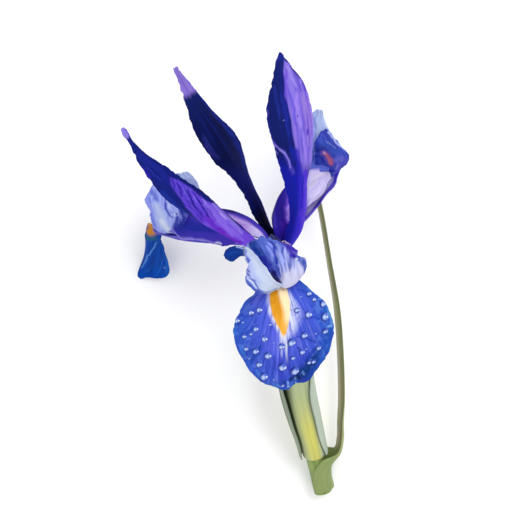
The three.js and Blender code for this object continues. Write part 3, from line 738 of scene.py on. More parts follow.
def paint_fall_front(t, v, across, along):
    """Royal blue with a signal of amber and cream, a pale halo and veins that fan out from it, and
    painted shade and painted highlights in the pleats low on the right.
    """
    s = np.abs(v)
    fan = front_fan(across, along)
    streak = fibres(fan * 26 + 40, along * 0.08, 3)
    fine = fibres(fan * 60 + 90, along * 0.15, 5)
    patches = mottle(across * 0.7 + 30, along * 0.7, 12)
    face = layered("3f55cc", [
        ("5f68e2", hump(v, 0.1, 0.7) * hump(t, 0.62, 0.3) * 0.8),
        ("1c58b4", ease(s, 0.55, 0.95) * 0.9),
        ("3d56c4", ease(v, 0.2, 0.6) * 0.5),
        ("2c66ba", ease(t, 0.84, 0.97) * 0.85),
        ("5f68da", hump(v, 0.6, 0.4) * hump(t, 0.4, 0.14) * 0.8),
        # Painted shade in the deep pleats low on the right.
        ("0b2f86", ease(-v, 0.35, 0.8) * ease(t, 0.76, 0.86) * (0.3 + 0.6 * streak)),
        ("2a36b4", 0.6 * ease(streak, 0.48, 0.75)),
        ("8592f0", 0.4 * ease(fine, 0.6, 0.84) * (1 - ease(s, 0.6, 0.95))),
        ("5a7fdc", 0.5 * ease(patches, 0.6, 0.9) * ease(s, 0.3, 0.7)),
        ("1c3aa6", 0.5 * ease(0.42 - fine, 0, 0.2))])
    face = brushed(face, across, along, FALL_FRONT_MARKS)
    left, right = [np.interp(t[:, 0], SIGNAL_T, reach)[:, None] for reach in (SIGNAL_LEFT, SIGNAL_RIGHT)]
    reach = np.where(v > 0, left, right) + 0.02 * (streak - 0.5)
    inside = 1 - s / np.maximum(reach, 1e-3)
    halo = 1 - ease(s - reach, 0, 0.09 + 0.24 * ease(-v, -0.02, 0.1) * hump(t, 0.56, 0.16))
    halo = halo * (1 - ease(t, 0.62, 0.72)) * ease(t, 0.25, 0.36)
    halo = halo * (1 - 0.45 * ease(v, 0, 0.2) * (1 - ease(t, 0.4, 0.5)))
    face = over(face, "d6dcf4", halo * (0.25 + 0.75 * ease(fine, 0.25, 0.6)))
    tail = hump(v, 0, 0.16) * ease(t, 0.58, 0.64) * (1 - ease(t, 0.66, 0.80))
    face = over(face, "dfe5f8", tail * ease(fine, 0.4, 0.65))
    ridge = 0.11 - 0.13 * ease(t, 0.36, 0.53)
    gold = layered(AMBER, [
        ("f2b040", ease(t, 0.5, 0.62)),
        (CREAM, (1 - ease(v, ridge - 0.06, ridge + 0.05)) * (1 - 0.8 * ease(t, 0.54, 0.6))),
        ("c4701a", 0.6 * ease(fibres(v * 40 + 20, along * 0.5, 8), 0.55, 0.8) * ease(v, 0, 0.2))])
    face = over(face, gold, ease(inside, 0, 0.16) * ease(0.648 - t, 0, 0.03))
    foot = ease(0.3 - t, 0, 0.12)
    face = over(face, over("5b3fc4", "e3b44a", hump(v, 0, 0.5)), foot)
    back = over("5660d0", "3a48bb", ease(streak, 0.45, 0.8) * 0.6)
    back = over(back, "93a878", hump(v, 0, 0.22) * (1 - ease(t, 0.5, 0.9)) * 0.7)
    return face, over(back, "6a4fc6", ease(0.35 - t, 0, 0.2) * 0.8)


def relief_fall_front(t, v, across, along):
    """A raised signal ridge, shallow veins, pleats at the margin and deeper ones low on the right."""
    s, fan = np.abs(v), front_fan(across, along)
    ridge = 0.55 * hump(v, 0, 0.12) * ease(t, 0.3, 0.36) * (1 - ease(t, 0.5, 0.66))
    veins = 0.12 * (fibres(fan * 60 + 90, along * 0.15, 5) - 0.5) * ease(s, 0.02, 0.2)
    swell = 0.28 * (fibres(fan * 14 + 30, along * 0.05, 11) - 0.5) * ease(s, 0.1, 0.5)
    rim = np.maximum(ease(s, 0.72, 1), ease(t, 0.84, 1))
    pleats = 0.28 * rim * np.sin(fan * 46 + 2 * mottle(across * 0.3 + 30, along * 0.3, 9))
    deep = 0.75 * ease(-v, 0.15, 0.5) * ease(t, 0.78, 0.88) * np.sin(fan * 30 + 0.6)
    return ridge + veins + swell + pleats + deep


FALL_LEFT_MARKS = [
    ([(-2.6, 50.2), (-0.4, 51), (1.8, 49.4)], 1.8, "1c5a80", 1),
    ([(-2.6, 43), (0.9, 44.4), (-0.3, 47.8)], 2.6, "cc8a14", 1),
    ([(0.9, 44), (0.8, 47)], 0.8, "e0a02c", 0.8),
    ([(2.9, 51.5), (1.2, 57), (-0.3, 62.1), (-0.8, 70.5)], 0.35, "5a94d8", 0.9),
    ([(7.6, 66), (7.5, 62.6), (6.9, 58)], 0.9, "1a5cba", 0.8),
    ([(6.8, 64.8), (6.6, 64.2)], 0.4, "8fb0e8", 0.8),
    ([(-3, 56), (-3.6, 64)], 1, "022c70", 0.7),
    ([(1.8, 60), (2.4, 70)], 0.6, "023078", 0.6),
    ([(4.4, 55), (4.6, 66)], 0.6, "023482", 0.6),
    ([(5.6, 60), (5.2, 70)], 0.4, "0a5cc0", 0.7),
]


def paint_fall_left(t, v, across, along):
    """A violet haft under its arm, then the amber signal and a cobalt blade, alike on both faces."""
    face = over("4034b8", "8f84e0", ease(-v, 0.4, 0.9) * 0.5)
    blade = over("00348e", "0048b0", mottle(across * 0.5 + 20, along * 0.12, 14))
    blade = over(blade, "0a5ab4", ease(fibres(v * 9 + 60, along * 0.06, 16), 0.55, 0.8) * 0.6)
    face = over(face, blade, ease(t, 0.52, 0.6))
    face = brushed(face, across, along, FALL_LEFT_MARKS)
    return face, face


FALL_RIGHT_MARKS = [
    ([(1.5, 9.9), (-0.4, 14.1)], 2, "4a2ccf", 0.9),
    ([(-0.4, 14), (-0.9, 19), (-0.8, 25), (-0.2, 32)], 2.1, "b0a8dc", 0.95),
    ([(2.7, 19), (2.8, 25), (3.1, 31)], 0.9, "6a5ac6", 0.9),
    ([(1, 12.6), (1.4, 17)], 0.7, "7462cc", 0.8),
]


def paint_fall_right(t, v, across, along):
    """A violet haft that pales towards its lower margin and a blue blade with an amber signal."""
    face = layered("3b2fc0", [
        ("5a3fd0", ease(-v, 0.2, 0.8)),
        ("2c49bd", ease(t, 0.5, 0.62)),
        (AMBER, ease(hump(v, 0, 0.5) * hump(t, 0.58, 0.12), 0.2, 0.4))])
    face = veined(face, v, along, "1c2c96", 0.4, 14, 21)
    back = over("5b45cc", "2f4fb8", ease(t, 0.45, 0.65))
    back = veined(back, v, along, "2a2a9c", 0.45, 12, 23)
    return brushed(face, across, along, FALL_RIGHT_MARKS), back


def relief_petal(t, v, across, along):
    """Shallow lengthwise veins and a slow unevenness."""
    veins = 0.10 * (fibres(v * 14 + 30, along * 0.12, 31) - 0.5)
    swell = 0.30 * (mottle(v * 2.2 + 10, along * 0.16, 33) - 0.5) * ease(np.abs(v), 0.05, 0.5)
    return (veins + swell) * ease(t, 0.02, 0.15)


STANDARD_RIGHT_MARKS = [
    ([(1.9, 71.1), (2.5, 67.4), (3.3, 63.5)], 0.9, "9a86de", 0.8),
    ([(1, 70.4), (0.6, 66.4)], 0.5, "6448c6", 0.8),
    ([(3.6, 70.4), (5, 66), (5.4, 61)], 0.8, "5a48bc", 0.8),
    ([(3.5, 70.7), (5.4, 68.4), (6.8, 66)], 1.2, "241a7a", 1),
    ([(7, 65), (7.6, 61)], 0.8, "5238a8", 0.9),
    ([(2, 73.6), (2.8, 72.4)], 0.9, "1a2484", 1),
    ([(3, 60.8), (2.4, 55.8), (2.6, 50)], 1.2, "9a80e4", 0.9),
    ([(0.6, 62.6), (0.9, 57), (0.9, 50.6)], 0.6, "5f4ccc", 0.8),
    ([(4.8, 63), (5, 57), (4.6, 51)], 0.6, "6f57cc", 0.7),
    ([(7.8, 57.9), (7.6, 52.3), (7, 47)], 1, "8b66c8", 0.8),
    ([(5.6, 60), (6, 50), (5.6, 42)], 1.7, "a385d2", 0.55),
    ([(9, 55), (9, 48), (8.2, 42)], 0.9, "a392e0", 0.7),
    ([(6.2, 54), (5.9, 46), (5.6, 40)], 0.5, "5a3fc4", 0.8),
    ([(5.5, 47.9), (5.3, 45.7)], 0.7, "4a30b4", 0.9),
    ([(3.4, 48), (3.4, 42), (3.9, 36)], 0.8, "9478e4", 0.8),
    ([(2, 47), (2.2, 40)], 0.6, "5c48c8", 0.8),
    ([(7, 44), (6.3, 38), (6.2, 34.6)], 0.8, "8a78dc", 0.8),
    ([(2.3, 54.2), (2.2, 53.8)], 0.35, "2a1c90", 1),
    ([(1, 51.9), (0.9, 51.7)], 0.25, "3a2aa0", 0.9),
    # Painted highlights along a crease on the dark half.
    ([(-8.2, 45.4), (-6.6, 43.4), (-4.2, 41.3), (-3, 38.3), (-1.4, 34)], 1, "4d42b8", 0.9),
    ([(-8.3, 46), (-7.6, 43.8), (-6, 43)], 0.7, "8f7fe4", 0.95),
    ([(-6.2, 43.2), (-4.6, 41.6), (-4, 40.6)], 0.35, "a99cf0", 0.9),
    ([(-4, 41.4), (-2.9, 38.6), (-1.8, 35.6)], 0.4, "8f84ea", 0.9),
    ([(-7.9, 41.6), (-6.6, 40.2)], 0.4, "8a7ee0", 0.8),
    ([(-8, 57.5), (-8.5, 54.3)], 0.9, "4d3f9d", 0.9),
    ([(-6.4, 61), (-5.6, 55)], 1, "0e1a60", 0.7),
    ([(-4, 66), (-4.2, 60), (-4, 54)], 0.7, "1c2c90", 0.7),
    ([(-2.4, 62), (-2, 54), (-2, 47)], 0.7, "1a2a98", 0.7),
    ([(-0.1, 42.3), (0.7, 36.5), (1.9, 28.1)], 1.3, "2323b0", 0.8),
    ([(-1.4, 44), (-1, 38)], 0.8, "14229a", 0.8),
    ([(3.2, 33.1), (3.2, 27.2), (3.3, 19.8)], 1.2, "4b27d0", 0.9),
    ([(5, 31), (4.9, 24), (4.8, 16)], 0.8, "4322c4", 0.8),
    ([(2, 31), (2.1, 22)], 0.4, "1c17a8", 0.8),
    ([(-1.5, 30.8), (-0.2, 15.7)], 1.6, "1420a0", 0.8),
    ([(1.6, 17.2), (5.2, 7.8), (3.4, 3.5)], 1.5, "4a2ccf", 0.7),
    ([(-2.9, 53), (-2.8, 52.8)], 0.24, "b0b0ee", 0.9),
    ([(-2.5, 36.3), (-2.5, 36.1)], 0.26, "b0b0f0", 0.9),
    ([(-2.1, 33.3), (-2.1, 33.1)], 0.26, "8f90e6", 0.9),
    ([(6, 64.7), (6, 64.5)], 0.24, "cfc6f6", 0.8),
    ([(8.6, 57), (8.6, 56.8)], 0.24, "cfc6f6", 0.8),
    ([(4.2, 27), (4.3, 26.6)], 0.35, "9a88f0", 0.8),
    ([(-1.5, 0.6), (-0.9, 1.6)], 0.9, "8c1c78", 0.95),
    ([(-1.5, 3), (-0.4, 1.6), (1, 0.2)], 0.55, "f0d0ee", 1),
]
# The fold down the right standard, where the painted shade of the dark half gives way to the lit lilac
# half: places along it, and how far across it lies at each.
RIGHT_FOLD = ([35.5, 39.8, 45.9, 48.8, 52.9, 58.3, 61.6, 66.7, 69.8, 72.7],
              [0.9, 0.2, -0.3, -0.6, -0.3, -0.8, -1.4, -0.5, 0.2, 0.8])


def paint_standard_right(t, v, across, along):
    """Dark navy, deepened by painted shade, on the half turned from the light, veined lilac, partly
    painted light, on the lit half, and blue-violet below.
    """
    streak = fibres(v * 9 + 20, along * 0.06, 41)
    fine = fibres(v * 24 + 50, along * 0.10, 42)
    # The half turned from the light: its dark navy is partly its own colour and partly painted shade.
    dark = over("0f1c66", "191f8c", ease(streak, 0.5, 0.8) * 0.7)
    # The half that faces the light: its lilac is partly its own colour and partly painted light.
    lilac = over("8470d8", "6a54d0", ease(streak, 0.42, 0.75))
    lilac = over(lilac, "4f38b8", ease(fine, 0.6, 0.85) * 0.7)
    low = layered("161ca8", [
        ("321fc8", ease(across, -0.6, 1.4)),
        ("522cd8", ease(across, 1.8, 3.2)),
        ("1a169c", 0.6 * ease(fine, 0.5, 0.8))])
    fold = np.interp(along, *RIGHT_FOLD)
    face = over(dark, low, 1 - ease(along + 0.6 * across, 31, 38))
    above = ease(along + 0.6 * across + 7 * (streak - 0.5), 31, 39)
    face = over(face, lilac, ease(across - fold, -0.25, 0.3) * above)
    face = brushed(face, across, along, STANDARD_RIGHT_MARKS)
    face = over(face, "1a2484", ease(along, 72.2, 73.6))
    back = veined("5a3fc6", v, along, "2c229a", 0.7, 16, 45)
    back = over(back, "8d78d8", hump(v, 0, 0.4) * 0.35)
    return face, back


STANDARD_MIDDLE_MARKS = [
    ([(3.7, 63), (7, 54.3), (8.4, 47), (10.6, 41.3), (7, 34)], 2.2, "0a1d7c", 0.95),
    ([(5, 56), (7.6, 47)], 0.5, "1a2f9c", 0.8),
    ([(8.6, 52), (9.4, 46)], 0.5, "1c34a0", 0.7),
    ([(-4.2, 49), (-4.3, 43.5), (-3.7, 40.5)], 1.3, "22247a", 0.7),
    ([(-5, 47), (-5.2, 43)], 0.7, "302c84", 0.6),
    ([(-3.6, 51), (-3.7, 44)], 0.4, "222a80", 0.8),
    ([(0.5, 58), (1.4, 48), (2, 38)], 0.6, "0c1f78", 0.7),
    ([(-1.6, 58), (-1.4, 46)], 0.5, "0a1a6a", 0.6),
    ([(3.6, 30), (2.6, 22), (1.8, 14)], 0.8, "10186c", 0.7),
]


def paint_standard_middle(t, v, across, along):
    """Almost black navy, partly its own colour and partly painted shade, with a bluer right margin, a
    violet bloom low on the left and a lilac tip.
    """
    streak = fibres(v * 10 + 20, along * 0.06, 51)
    # Painted shade deepens the face to near black, the last layer most of all towards the foot, in the
    # throat.
    face = layered("040d46", [
        ("0a1a6c", ease(streak, 0.55, 0.8) * 0.5),
        ("0b1a5e", ease(t, 0.6, 0.78)),
        ("0a1266", 1 - ease(t, 0.42, 0.52)),
        ("05082e", 1 - ease(t - 0.08 * v, 0.24, 0.42))])
    face = brushed(face, across, along, STANDARD_MIDDLE_MARKS)
    tip = over("8a74cc", "6450b8", ease(streak, 0.45, 0.7) * 0.7)
    face = over(face, tip, ease(t + 0.03 * streak, 0.80, 0.84))
    back = veined("4638b4", v, along, "1c1a80", 0.7, 16, 55)
    return face, over(back, "8a74d6", ease(t, 0.80, 0.86))


STANDARD_LEFT_MARKS = [
    ([(0.6, 46.8), (0.3, 42.6)], 1.6, "4d35be", 0.7),
    ([(1.8, 45), (2.8, 40.6)], 0.8, "6a50cc", 0.7),
    ([(-1.6, 34.7), (-3.6, 29.5)], 1.8, "5b34d4", 0.8),
    # A painted highlight in a band low on the right.
    ([(1.4, 34), (1.1, 30.4), (0.1, 23.7), (-0.9, 17.1)], 1.7, "9274ea", 0.65),
    ([(-1.6, 30.4), (-2.9, 24.4), (-3.4, 19)], 1.5, "6428cc", 0.9),
    ([(-2.4, 22), (-2.7, 16), (-1.8, 12)], 1.5, "6c1ec8", 0.95),
    ([(-4.3, 22.2), (-3.6, 17.1), (-3, 12)], 0.8, "3a1ea4", 0.9),
    ([(0.4, 19), (-0.2, 12)], 0.8, "8a66e4", 0.8),
    # More painted highlight in the same band.
    ([(3.2, 30), (2.9, 25), (2.2, 19), (1.6, 14)], 1.1, "9c86ea", 0.7),
    ([(2.4, 27), (1.6, 22)], 0.5, "b9a8f0", 0.7),
    ([(1.5, 50.6), (0.9, 49.2), (-0.3, 48)], 0.45, "20188a", 0.9),
    ([(1.9, 48.4), (0.8, 46.6), (-0.7, 43.6)], 0.4, "20188a", 0.9),
    ([(2.3, 46), (1.4, 43.8), (0, 40.6)], 0.35, "2a2094", 0.8),
    ([(2.6, 43.6), (1, 41.7), (-0.6, 38.6), (-1.4, 35.8)], 0.45, "20188a", 0.9),
    ([(2.6, 40.8), (1.2, 37.8), (0.4, 35.2)], 0.4, "20188a", 0.9),
    ([(1.6, 38.6), (0.2, 34.2), (-1.2, 29)], 0.4, "281c92", 0.9),
    ([(-0.7, 38), (-1.6, 34), (-2.7, 30.1)], 0.4, "281c92", 0.9),
    ([(-1, 41), (-2.2, 37.4)], 0.35, "30249c", 0.8),
    ([(0.9, 34), (0.2, 30), (-0.8, 26)], 0.35, "4a34b8", 0.8),
    ([(-2.8, 34), (-4, 28)], 0.4, "3a20b0", 0.8),
    ([(1.5, 45.6), (0.2, 42)], 0.25, "8676e0", 0.6),
    ([(1.3, 40.4), (0.2, 37.2)], 0.3, "8a70e6", 0.6),
    ([(2.2, 36), (1.9, 33)], 0.5, "a692ee", 0.6),
    ([(5.6, 40.5), (4.9, 36.1), (4.4, 32)], 1.1, "1c1566", 0.95),
    ([(3.6, 42), (3.2, 38.4), (2.8, 36.4)], 0.5, "1c1566", 0.9),
    ([(-3.5, 50), (-5.8, 39.2), (-5.6, 28.6)], 1.2, "15309e", 0.8),
    ([(-2.7, 62), (-3, 56.5)], 1, "2a1fa8", 0.8),
    ([(-0.4, 64.8), (1.2, 56.3), (0, 51.2)], 1.5, "16228a", 0.7),
    ([(2, 61), (3.2, 53)], 0.6, "0a1668", 0.8),
    ([(-1.4, 60), (-1, 53)], 0.5, "202c98", 0.7),
]
# The upper and lower bounds of the left standard's violet middle, given in the same way.
LEFT_WINDOW_TOP = ([20, 28, 31, 34.5, 38.1, 40.7, 43.4, 48, 51.8],
                   [2.9, 4.2, 3.4, 2.6, 3.4, 3.6, 3.2, 2.9, 1.5])
LEFT_WINDOW_LOW = ([22, 27, 33.3, 39.1, 43.6, 50.1, 51.8], [-4.5, -5.2, -4.4, -3.3, -1.7, -0.1, 1])


def paint_standard_left(t, v, across, along):
    """Dark blue towards the tip and round the margins, a wrinkled violet middle with a band of painted
    highlight, and a lilac curled tip.
    """
    streak = fibres(v * 8 + 20, along * 0.07, 61)
    fine = fibres(v * 22 + 50, along * 0.10, 62)
    face = over("111f7c", "0d1664", ease(streak, 0.5, 0.8) * 0.8)
    glow = layered("5f44d2", [
        ("6b44da", ease(0.5 - t, 0, 0.2)),
        ("7d50e4", ease(34 - along, 0, 10)),
        ("3526a8", ease(fine, 0.55, 0.72) * hump(t, 0.44, 0.2) * 0.8),
        ("4a2cc0", ease(streak, 0.5, 0.75) * 0.5)])
    top, low = np.interp(along, *LEFT_WINDOW_TOP), np.interp(along, *LEFT_WINDOW_LOW)
    window = ease(top - across, -0.3, 0.5) * ease(across - low, -0.3, 0.5)
    window = window * (1 - ease(along, 50.5, 52.5))
    face = brushed(over(face, glow, window), across, along, STANDARD_LEFT_MARKS)
    tip = over("8f7cdc", "5a48c0", ease(streak, 0.5, 0.75))
    tip = over(tip, "4a2fb0", stroke(across, along, [(0.1, 70.4), (0.6, 68.1), (0.3, 66.2)], 0.7))
    face = over(face, tip, ease(t + 0.03 * fine, 0.84, 0.88))
    back = veined("4a3ac0", v, along, "201c8c", 0.7, 16, 65)
    return face, over(back, "8a78d8", ease(t, 0.82, 0.88))


def relief_standard_left(t, v, across, along):
    """Veins, a slow unevenness and the lengthwise wrinkles of the violet middle."""
    wrinkles = 0.35 * (fibres(v * 7 + 12, along * 0.10, 66) - 0.5) * hump(t, 0.42, 0.25)
    return relief_petal(t, v, across, along) + wrinkles * (1 - np.abs(v))


def relief_standard_right(t, v, across, along):
    """Veins, a slow unevenness and a sharp crease down the middle."""
    crease = -0.45 * hump(v, -0.05, 0.14) * ease(t, 0.3, 0.5) * (1 - ease(t, 0.85, 0.95))
    folds = 0.4 * (fibres(v * 4 + 12, along * 0.06, 46) - 0.5) * ease(v, 0.05, 0.3)
    return relief_petal(t, v, across, along) + crease + folds * ease(t, 0.2, 0.4)


def paint_arm_front(t, v, across, along):
    """Deep navy on top, painted shade where it lies under the crest, and lavender underneath."""
    # Painted shade: the top is painted deep navy where the crest shades it.
    face = over("191b5e", "20226a", ease(t, 0.6, 1))
    face = veined(face, v, along, "0e0f3c", 0.6, 12, 71)
    return face, over("b9b4ea", "7a6fd0", ease(np.abs(v), 0.3, 1))


FAN_MARKS = [
    ([(0.8, 1.5), (1.8, 3.4), (3.2, 4.6)], 2.4, "cacae8", 0.8),
    ([(3.6, 5.6), (4.8, 6.8)], 1.4, "c8cdf0", 0.9),
    ([(-1.2, 21), (-4.6, 20.6), (-6.6, 18.6), (-7.4, 16.8)], 1.3, "8090dc", 0.95),
    ([(-0.1, 20.5), (0.7, 17.8)], 1.2, "4a66c0", 0.8),
    ([(-1.4, 20.4), (-2.4, 17.6)], 0.9, "4a64c2", 0.8),
    # Painted shade along the fold, where the panel overlaps the fan.
    ([(-3.7, 20), (-3.7, 18.7), (-3.9, 17), (-4.2, 12.8)], 2.6, "022c84", 1),
    ([(-4.2, 13.4), (-4, 8.5), (-3.6, 4.6)], 2.2, "1c2494", 1),
    ([(-3.8, 7), (-3.2, 4.2), (-2.2, 1.9), (-1, 0.4)], 1.2, "1c1660", 1),
    ([(-5.6, 15.4), (-5.3, 12.3), (-5, 8)], 0.9, "0b0f7c", 0.9),
    ([(-2, 17.4), (-2.4, 14.4), (-2.6, 11.6)], 0.5, "566cd0", 0.7),
    ([(1.9, 17.4), (1.6, 15.7), (-0.4, 12.3), (-1.2, 8.6)], 0.6, "2230a0", 1),
    ([(-0.7, 16.4), (-1.2, 13.6), (-2, 10.6)], 0.7, "8a9af0", 0.9),
    ([(0.9, 16.8), (0, 14.4)], 0.5, "8a9af0", 0.8),
    ([(2.4, 14.8), (1.8, 13.5), (0.4, 8.7), (0.2, 5)], 0.7, "9aa6ec", 0.9),
    ([(3.2, 12.6), (2, 9.4), (1.4, 6.6)], 0.5, "b4bcf0", 0.9),
    ([(2.6, 12.8), (1.2, 9.2)], 0.4, "4656b8", 0.9),
    ([(-1.8, 8.6), (-1.6, 6), (-1, 3.6)], 0.5, "3438a0", 0.9),
    ([(-0.7, 8.4), (-0.8, 5.4), (-0.5, 3.2)], 0.45, "aab0ee", 0.9),
    ([(-0.2, 8), (-0.2, 5)], 0.35, "4650b0", 0.6),
    ([(3.6, 10), (2.6, 7.4), (2, 5.8)], 0.45, "4350b2", 0.9),
    ([(0.9, 8.2), (0.7, 5.4)], 0.35, "4e58b6", 0.8),
    ([(4.4, 8.6), (3.4, 6.4)], 0.35, "5663ba", 0.8),
    ([(4.3, 11.9), (5.4, 11), (6.1, 9.8), (5.6, 8.4), (3.8, 9)], 1.3, "3120a0", 1),
    ([(4.8, 13.4), (5.5, 12.2), (6, 10.4)], 1.1, "3722a4", 1),
    ([(4.3, 14.2), (4.8, 13.3)], 0.6, "9c3c98", 0.8),
    ([(5.8, 7.6), (6.6, 6.9), (7.5, 6), (7.2, 4.8)], 1.4, "3a53b0", 1),
    # A small painted highlight.
    ([(4.6, 7.6), (5.4, 7.5)], 0.4, "d8e0fa", 0.7),
    ([(3.5, 10), (3.9, 11)], 0.35, "9a9ae6", 0.8),
    ([(4.8, 9.6), (5.1, 10.1)], 0.3, "8a7ce0", 0.8),
    ([(3.8, 14.6), (4.6, 12), (4.4, 10)], 1.8, "4430b0", 0.9),
    ([(-8.2, 15), (-7.7, 16.6), (-7.4, 17.9)], 0.9, "b8c4ea", 1),
    ([(-1.2, 0.8), (-0.6, -0.2)], 1, "a82c54", 0.9),
]


def paint_crest_fan(t, v, across, along):
    """Blue pleats that pale towards the foot, painted shade along the fold on the left where the panel
    overlaps it, a violet frilled right and a small painted highlight.
    """
    streak = fibres(v * 9 + 20, along * 0.08, 75)
    face = layered("6074ce", [
        ("4a5ebc", ease(streak, 0.42, 0.75)),
        ("8f98d8", ease(across, -1.5, 0.5) * ease(14 - along + 5 * (streak - 0.5), 0, 4)),
        ("c6c6e6", ease(across, -2.2, 0) * ease(8 - along + 0.5 * across + 5 * (streak - 0.5), 0, 5))])
    face = brushed(face, across, along, FAN_MARKS)
    face = over(face, "5668c8", ease(fibres(v * 22 + 50, along * 0.16, 76), 0.62, 0.85) * 0.35)
    foot = ease(across, -0.9, 0.6) * ease(8.5 - along - 0.4 * across + 3 * (streak - 0.5), 0, 5)
    face = over(face, "cacae8", 0.7 * foot * ease(5.4 - across, 0, 1.5))
    face = over(face, "2f3f9c", np.maximum(ease(np.abs(v), 0.94, 1), ease(t, 0.96, 1)) * 0.6)
    back = over("7f92e0", "5a6cc8", ease(streak, 0.45, 0.75))
    return face, back


def relief_crest_fan(t, v, across, along):
    """A hollow along the dark fold, two creases, fine ribs and a frilled margin."""
    fold = -1.0 * stroke(across, along, [(-4.8, 17.6), (-3.5, 13.6), (-3.3, 8), (-1.6, 1)], 2.4)
    crease = -0.5 * stroke(across, along, [(1.4, 17.2), (0.5, 12.3), (-0.3, 10.6)], 1.1)
    sway = 0.9 * mottle(along * 0.3, across * 0.2, 77)
    pleats = 0.35 * np.sin(across * 2.6 + sway) * ease(across, -1.5, 0)
    ribs = 0.16 * (fibres(v * 18 + 50, along * 0.16, 76) - 0.5) * ease(t, 0.05, 0.3)
    frill = 0.35 * np.sin(v * 21 + t * 15) * np.maximum(ease(t, 0.8, 1), ease(np.abs(v), 0.7, 1))
    return (fold + crease + pleats * ease(t, 0.08, 0.3) + frill * ease(t, 0.1, 0.3)) + ribs


PANEL_MARKS = [
    ([(-6, 11.6), (-6.4, 9.8), (-6, 7.6), (-4.8, 5.2)], 1.2, "4158b2", 0.95),
    ([(-3.8, 15.4), (-4.4, 13.6), (-5, 12.4)], 0.6, "7482d4", 0.9),
    ([(-2.7, 18.4), (-3, 16.6)], 0.5, "8f9ce4", 0.8),
    ([(-4, 13.8), (-3.6, 11.4)], 0.4, "463ea6", 0.95),
    ([(-4.9, 12.8), (-4.2, 10.8)], 0.4, "3442a4", 0.95),
    ([(-3.5, 15.4), (-3, 13.4)], 0.35, "7f88d2", 0.8),
    ([(-5.6, 11), (-4.9, 9.6), (-5.4, 7.7)], 0.35, "c5d0f4", 0.9),
    ([(-4.7, 10.6), (-4.2, 9.2), (-4.8, 7.2)], 0.4, "4456b2", 0.95),
    ([(-3.6, 11), (-3.4, 8.8), (-3.9, 6.6)], 0.4, "a4b0e0", 0.8),
    ([(-4.6, 5), (-2.4, 3), (-1, 1.2)], 0.4, "5a62b8", 0.8),
    ([(0.9, 17), (1.2, 12)], 0.9, "bcc8ee", 0.6),
    ([(0.6, 20.4), (1.2, 21.6), (1.9, 23.4)], 0.35, "9fb4ea", 0.9),
]


def paint_crest_panel(t, v, across, along):
    """Milk white with a frilled violet-blue lower margin and a deep blue curl at its end, partly its own
    colour and partly painted shade.
    """
    streak = fibres(v * 9 + 20, along * 0.12, 81)
    face = over("c0cbe2", "a9b7e0", ease(streak, 0.5, 0.8) * 0.5)
    middle = ease(along, 6, 9) * (1 - ease(along, 15, 19))
    face = over(face, "9aa6e2", ease(-v, 0.15, 0.6) * middle * 0.7)
    # The curl's deep blue is its darker back side deepened by painted shade.
    curl = ease(t, 0.51, 0.58)
    face = over(face, over("002f86", "0a44a0", ease(streak, 0.5, 0.8) * 0.6), curl)
    face = brushed(face, across, along, PANEL_MARKS)
    back = over("8d9ce6", "0c3f9e", curl)
    return face, back


def relief_crest_panel(t, v, across, along):
    """A gently dished panel with small frills along its lower margin."""
    margin = ease(-v, 0.5, 1) * (1 - ease(t, 0.49, 0.54)) * ease(t, 0.05, 0.15)
    return 0.4 * np.sin(along * 2.7) * margin - 0.4 * hump(v, 0, 0.8) * hump(t, 0.35, 0.31)


ARM_LEFT_MARKS = [
    ([(0.9, 29), (0.4, 24), (0.5, 19), (1.2, 14.1), (2.6, 9.7)], 1.7, "1a1560", 1),
    ([(-1, 22), (-0.9, 14), (-0.6, 7)], 0.6, "4a38b4", 0.7),
    ([(-5.2, 44.5), (-6.4, 37), (-6.9, 33), (-7.2, 26)], 3, "1d279a", 1),
    ([(-8.1, 37.6), (-9.4, 32.2), (-9.6, 25)], 1.2, "3a2eb0", 0.9),
    ([(-3, 17.4), (-3.1, 15.4)], 1, "c07cdc", 0.8),
    ([(-2.2, 20.4), (-2.3, 12.2), (-2.1, 5.8)], 0.3, "cabdf0", 0.8),
    ([(-4.8, 46.4), (-7.6, 45.2), (-10.2, 40.7), (-11.3, 33.4), (-11.6, 28.2), (-12, 24.3)],
     0.9, "8f82dc", 0.9),
    ([(-11.2, 36), (-11.9, 29)], 0.5, "b4a8ea", 0.7),
    ([(-11.6, 25.4), (-11.8, 21.4)], 0.5, "dcdcf6", 0.8),
    ([(-8.6, 22), (-7.6, 17)], 0.8, "4a2cb4", 0.8),
    ([(-4.6, 48.4), (-6.9, 46.8)], 1, "9fb0ea", 0.8),
]


def paint_arm_left(t, v, across, along):
    """A blue-violet arm, paler and pink with painted light towards the throat on its lit lower flank,
    with a pale lower margin.
    """
    face = over("4432b6", "34309e", ease(t, 0.5, 0.9) * 0.6)
    face = over(face, "221a74", ease(v, 0, 0.3) * (1 - ease(t, 0.55, 0.75)) * 0.6)
    # Painted light: the pink and pale glow of the lit lower flank towards the throat.
    glow = over("b68fe4", "d6c8f8", ease(13 - along, 0, 5))
    lower = ease(-across, 0.5, 1.7) * (1 - ease(-across, 4.6, 7))
    face = over(face, glow, lower * ease(25 - along, 0, 8))
    face = brushed(face, across, along, ARM_LEFT_MARKS)
    face = veined(face, v, along, "2a2496", 0.2, 12, 85)
    return face, over("c3b4ea", "8577d2", ease(np.abs(v), 0.3, 1))


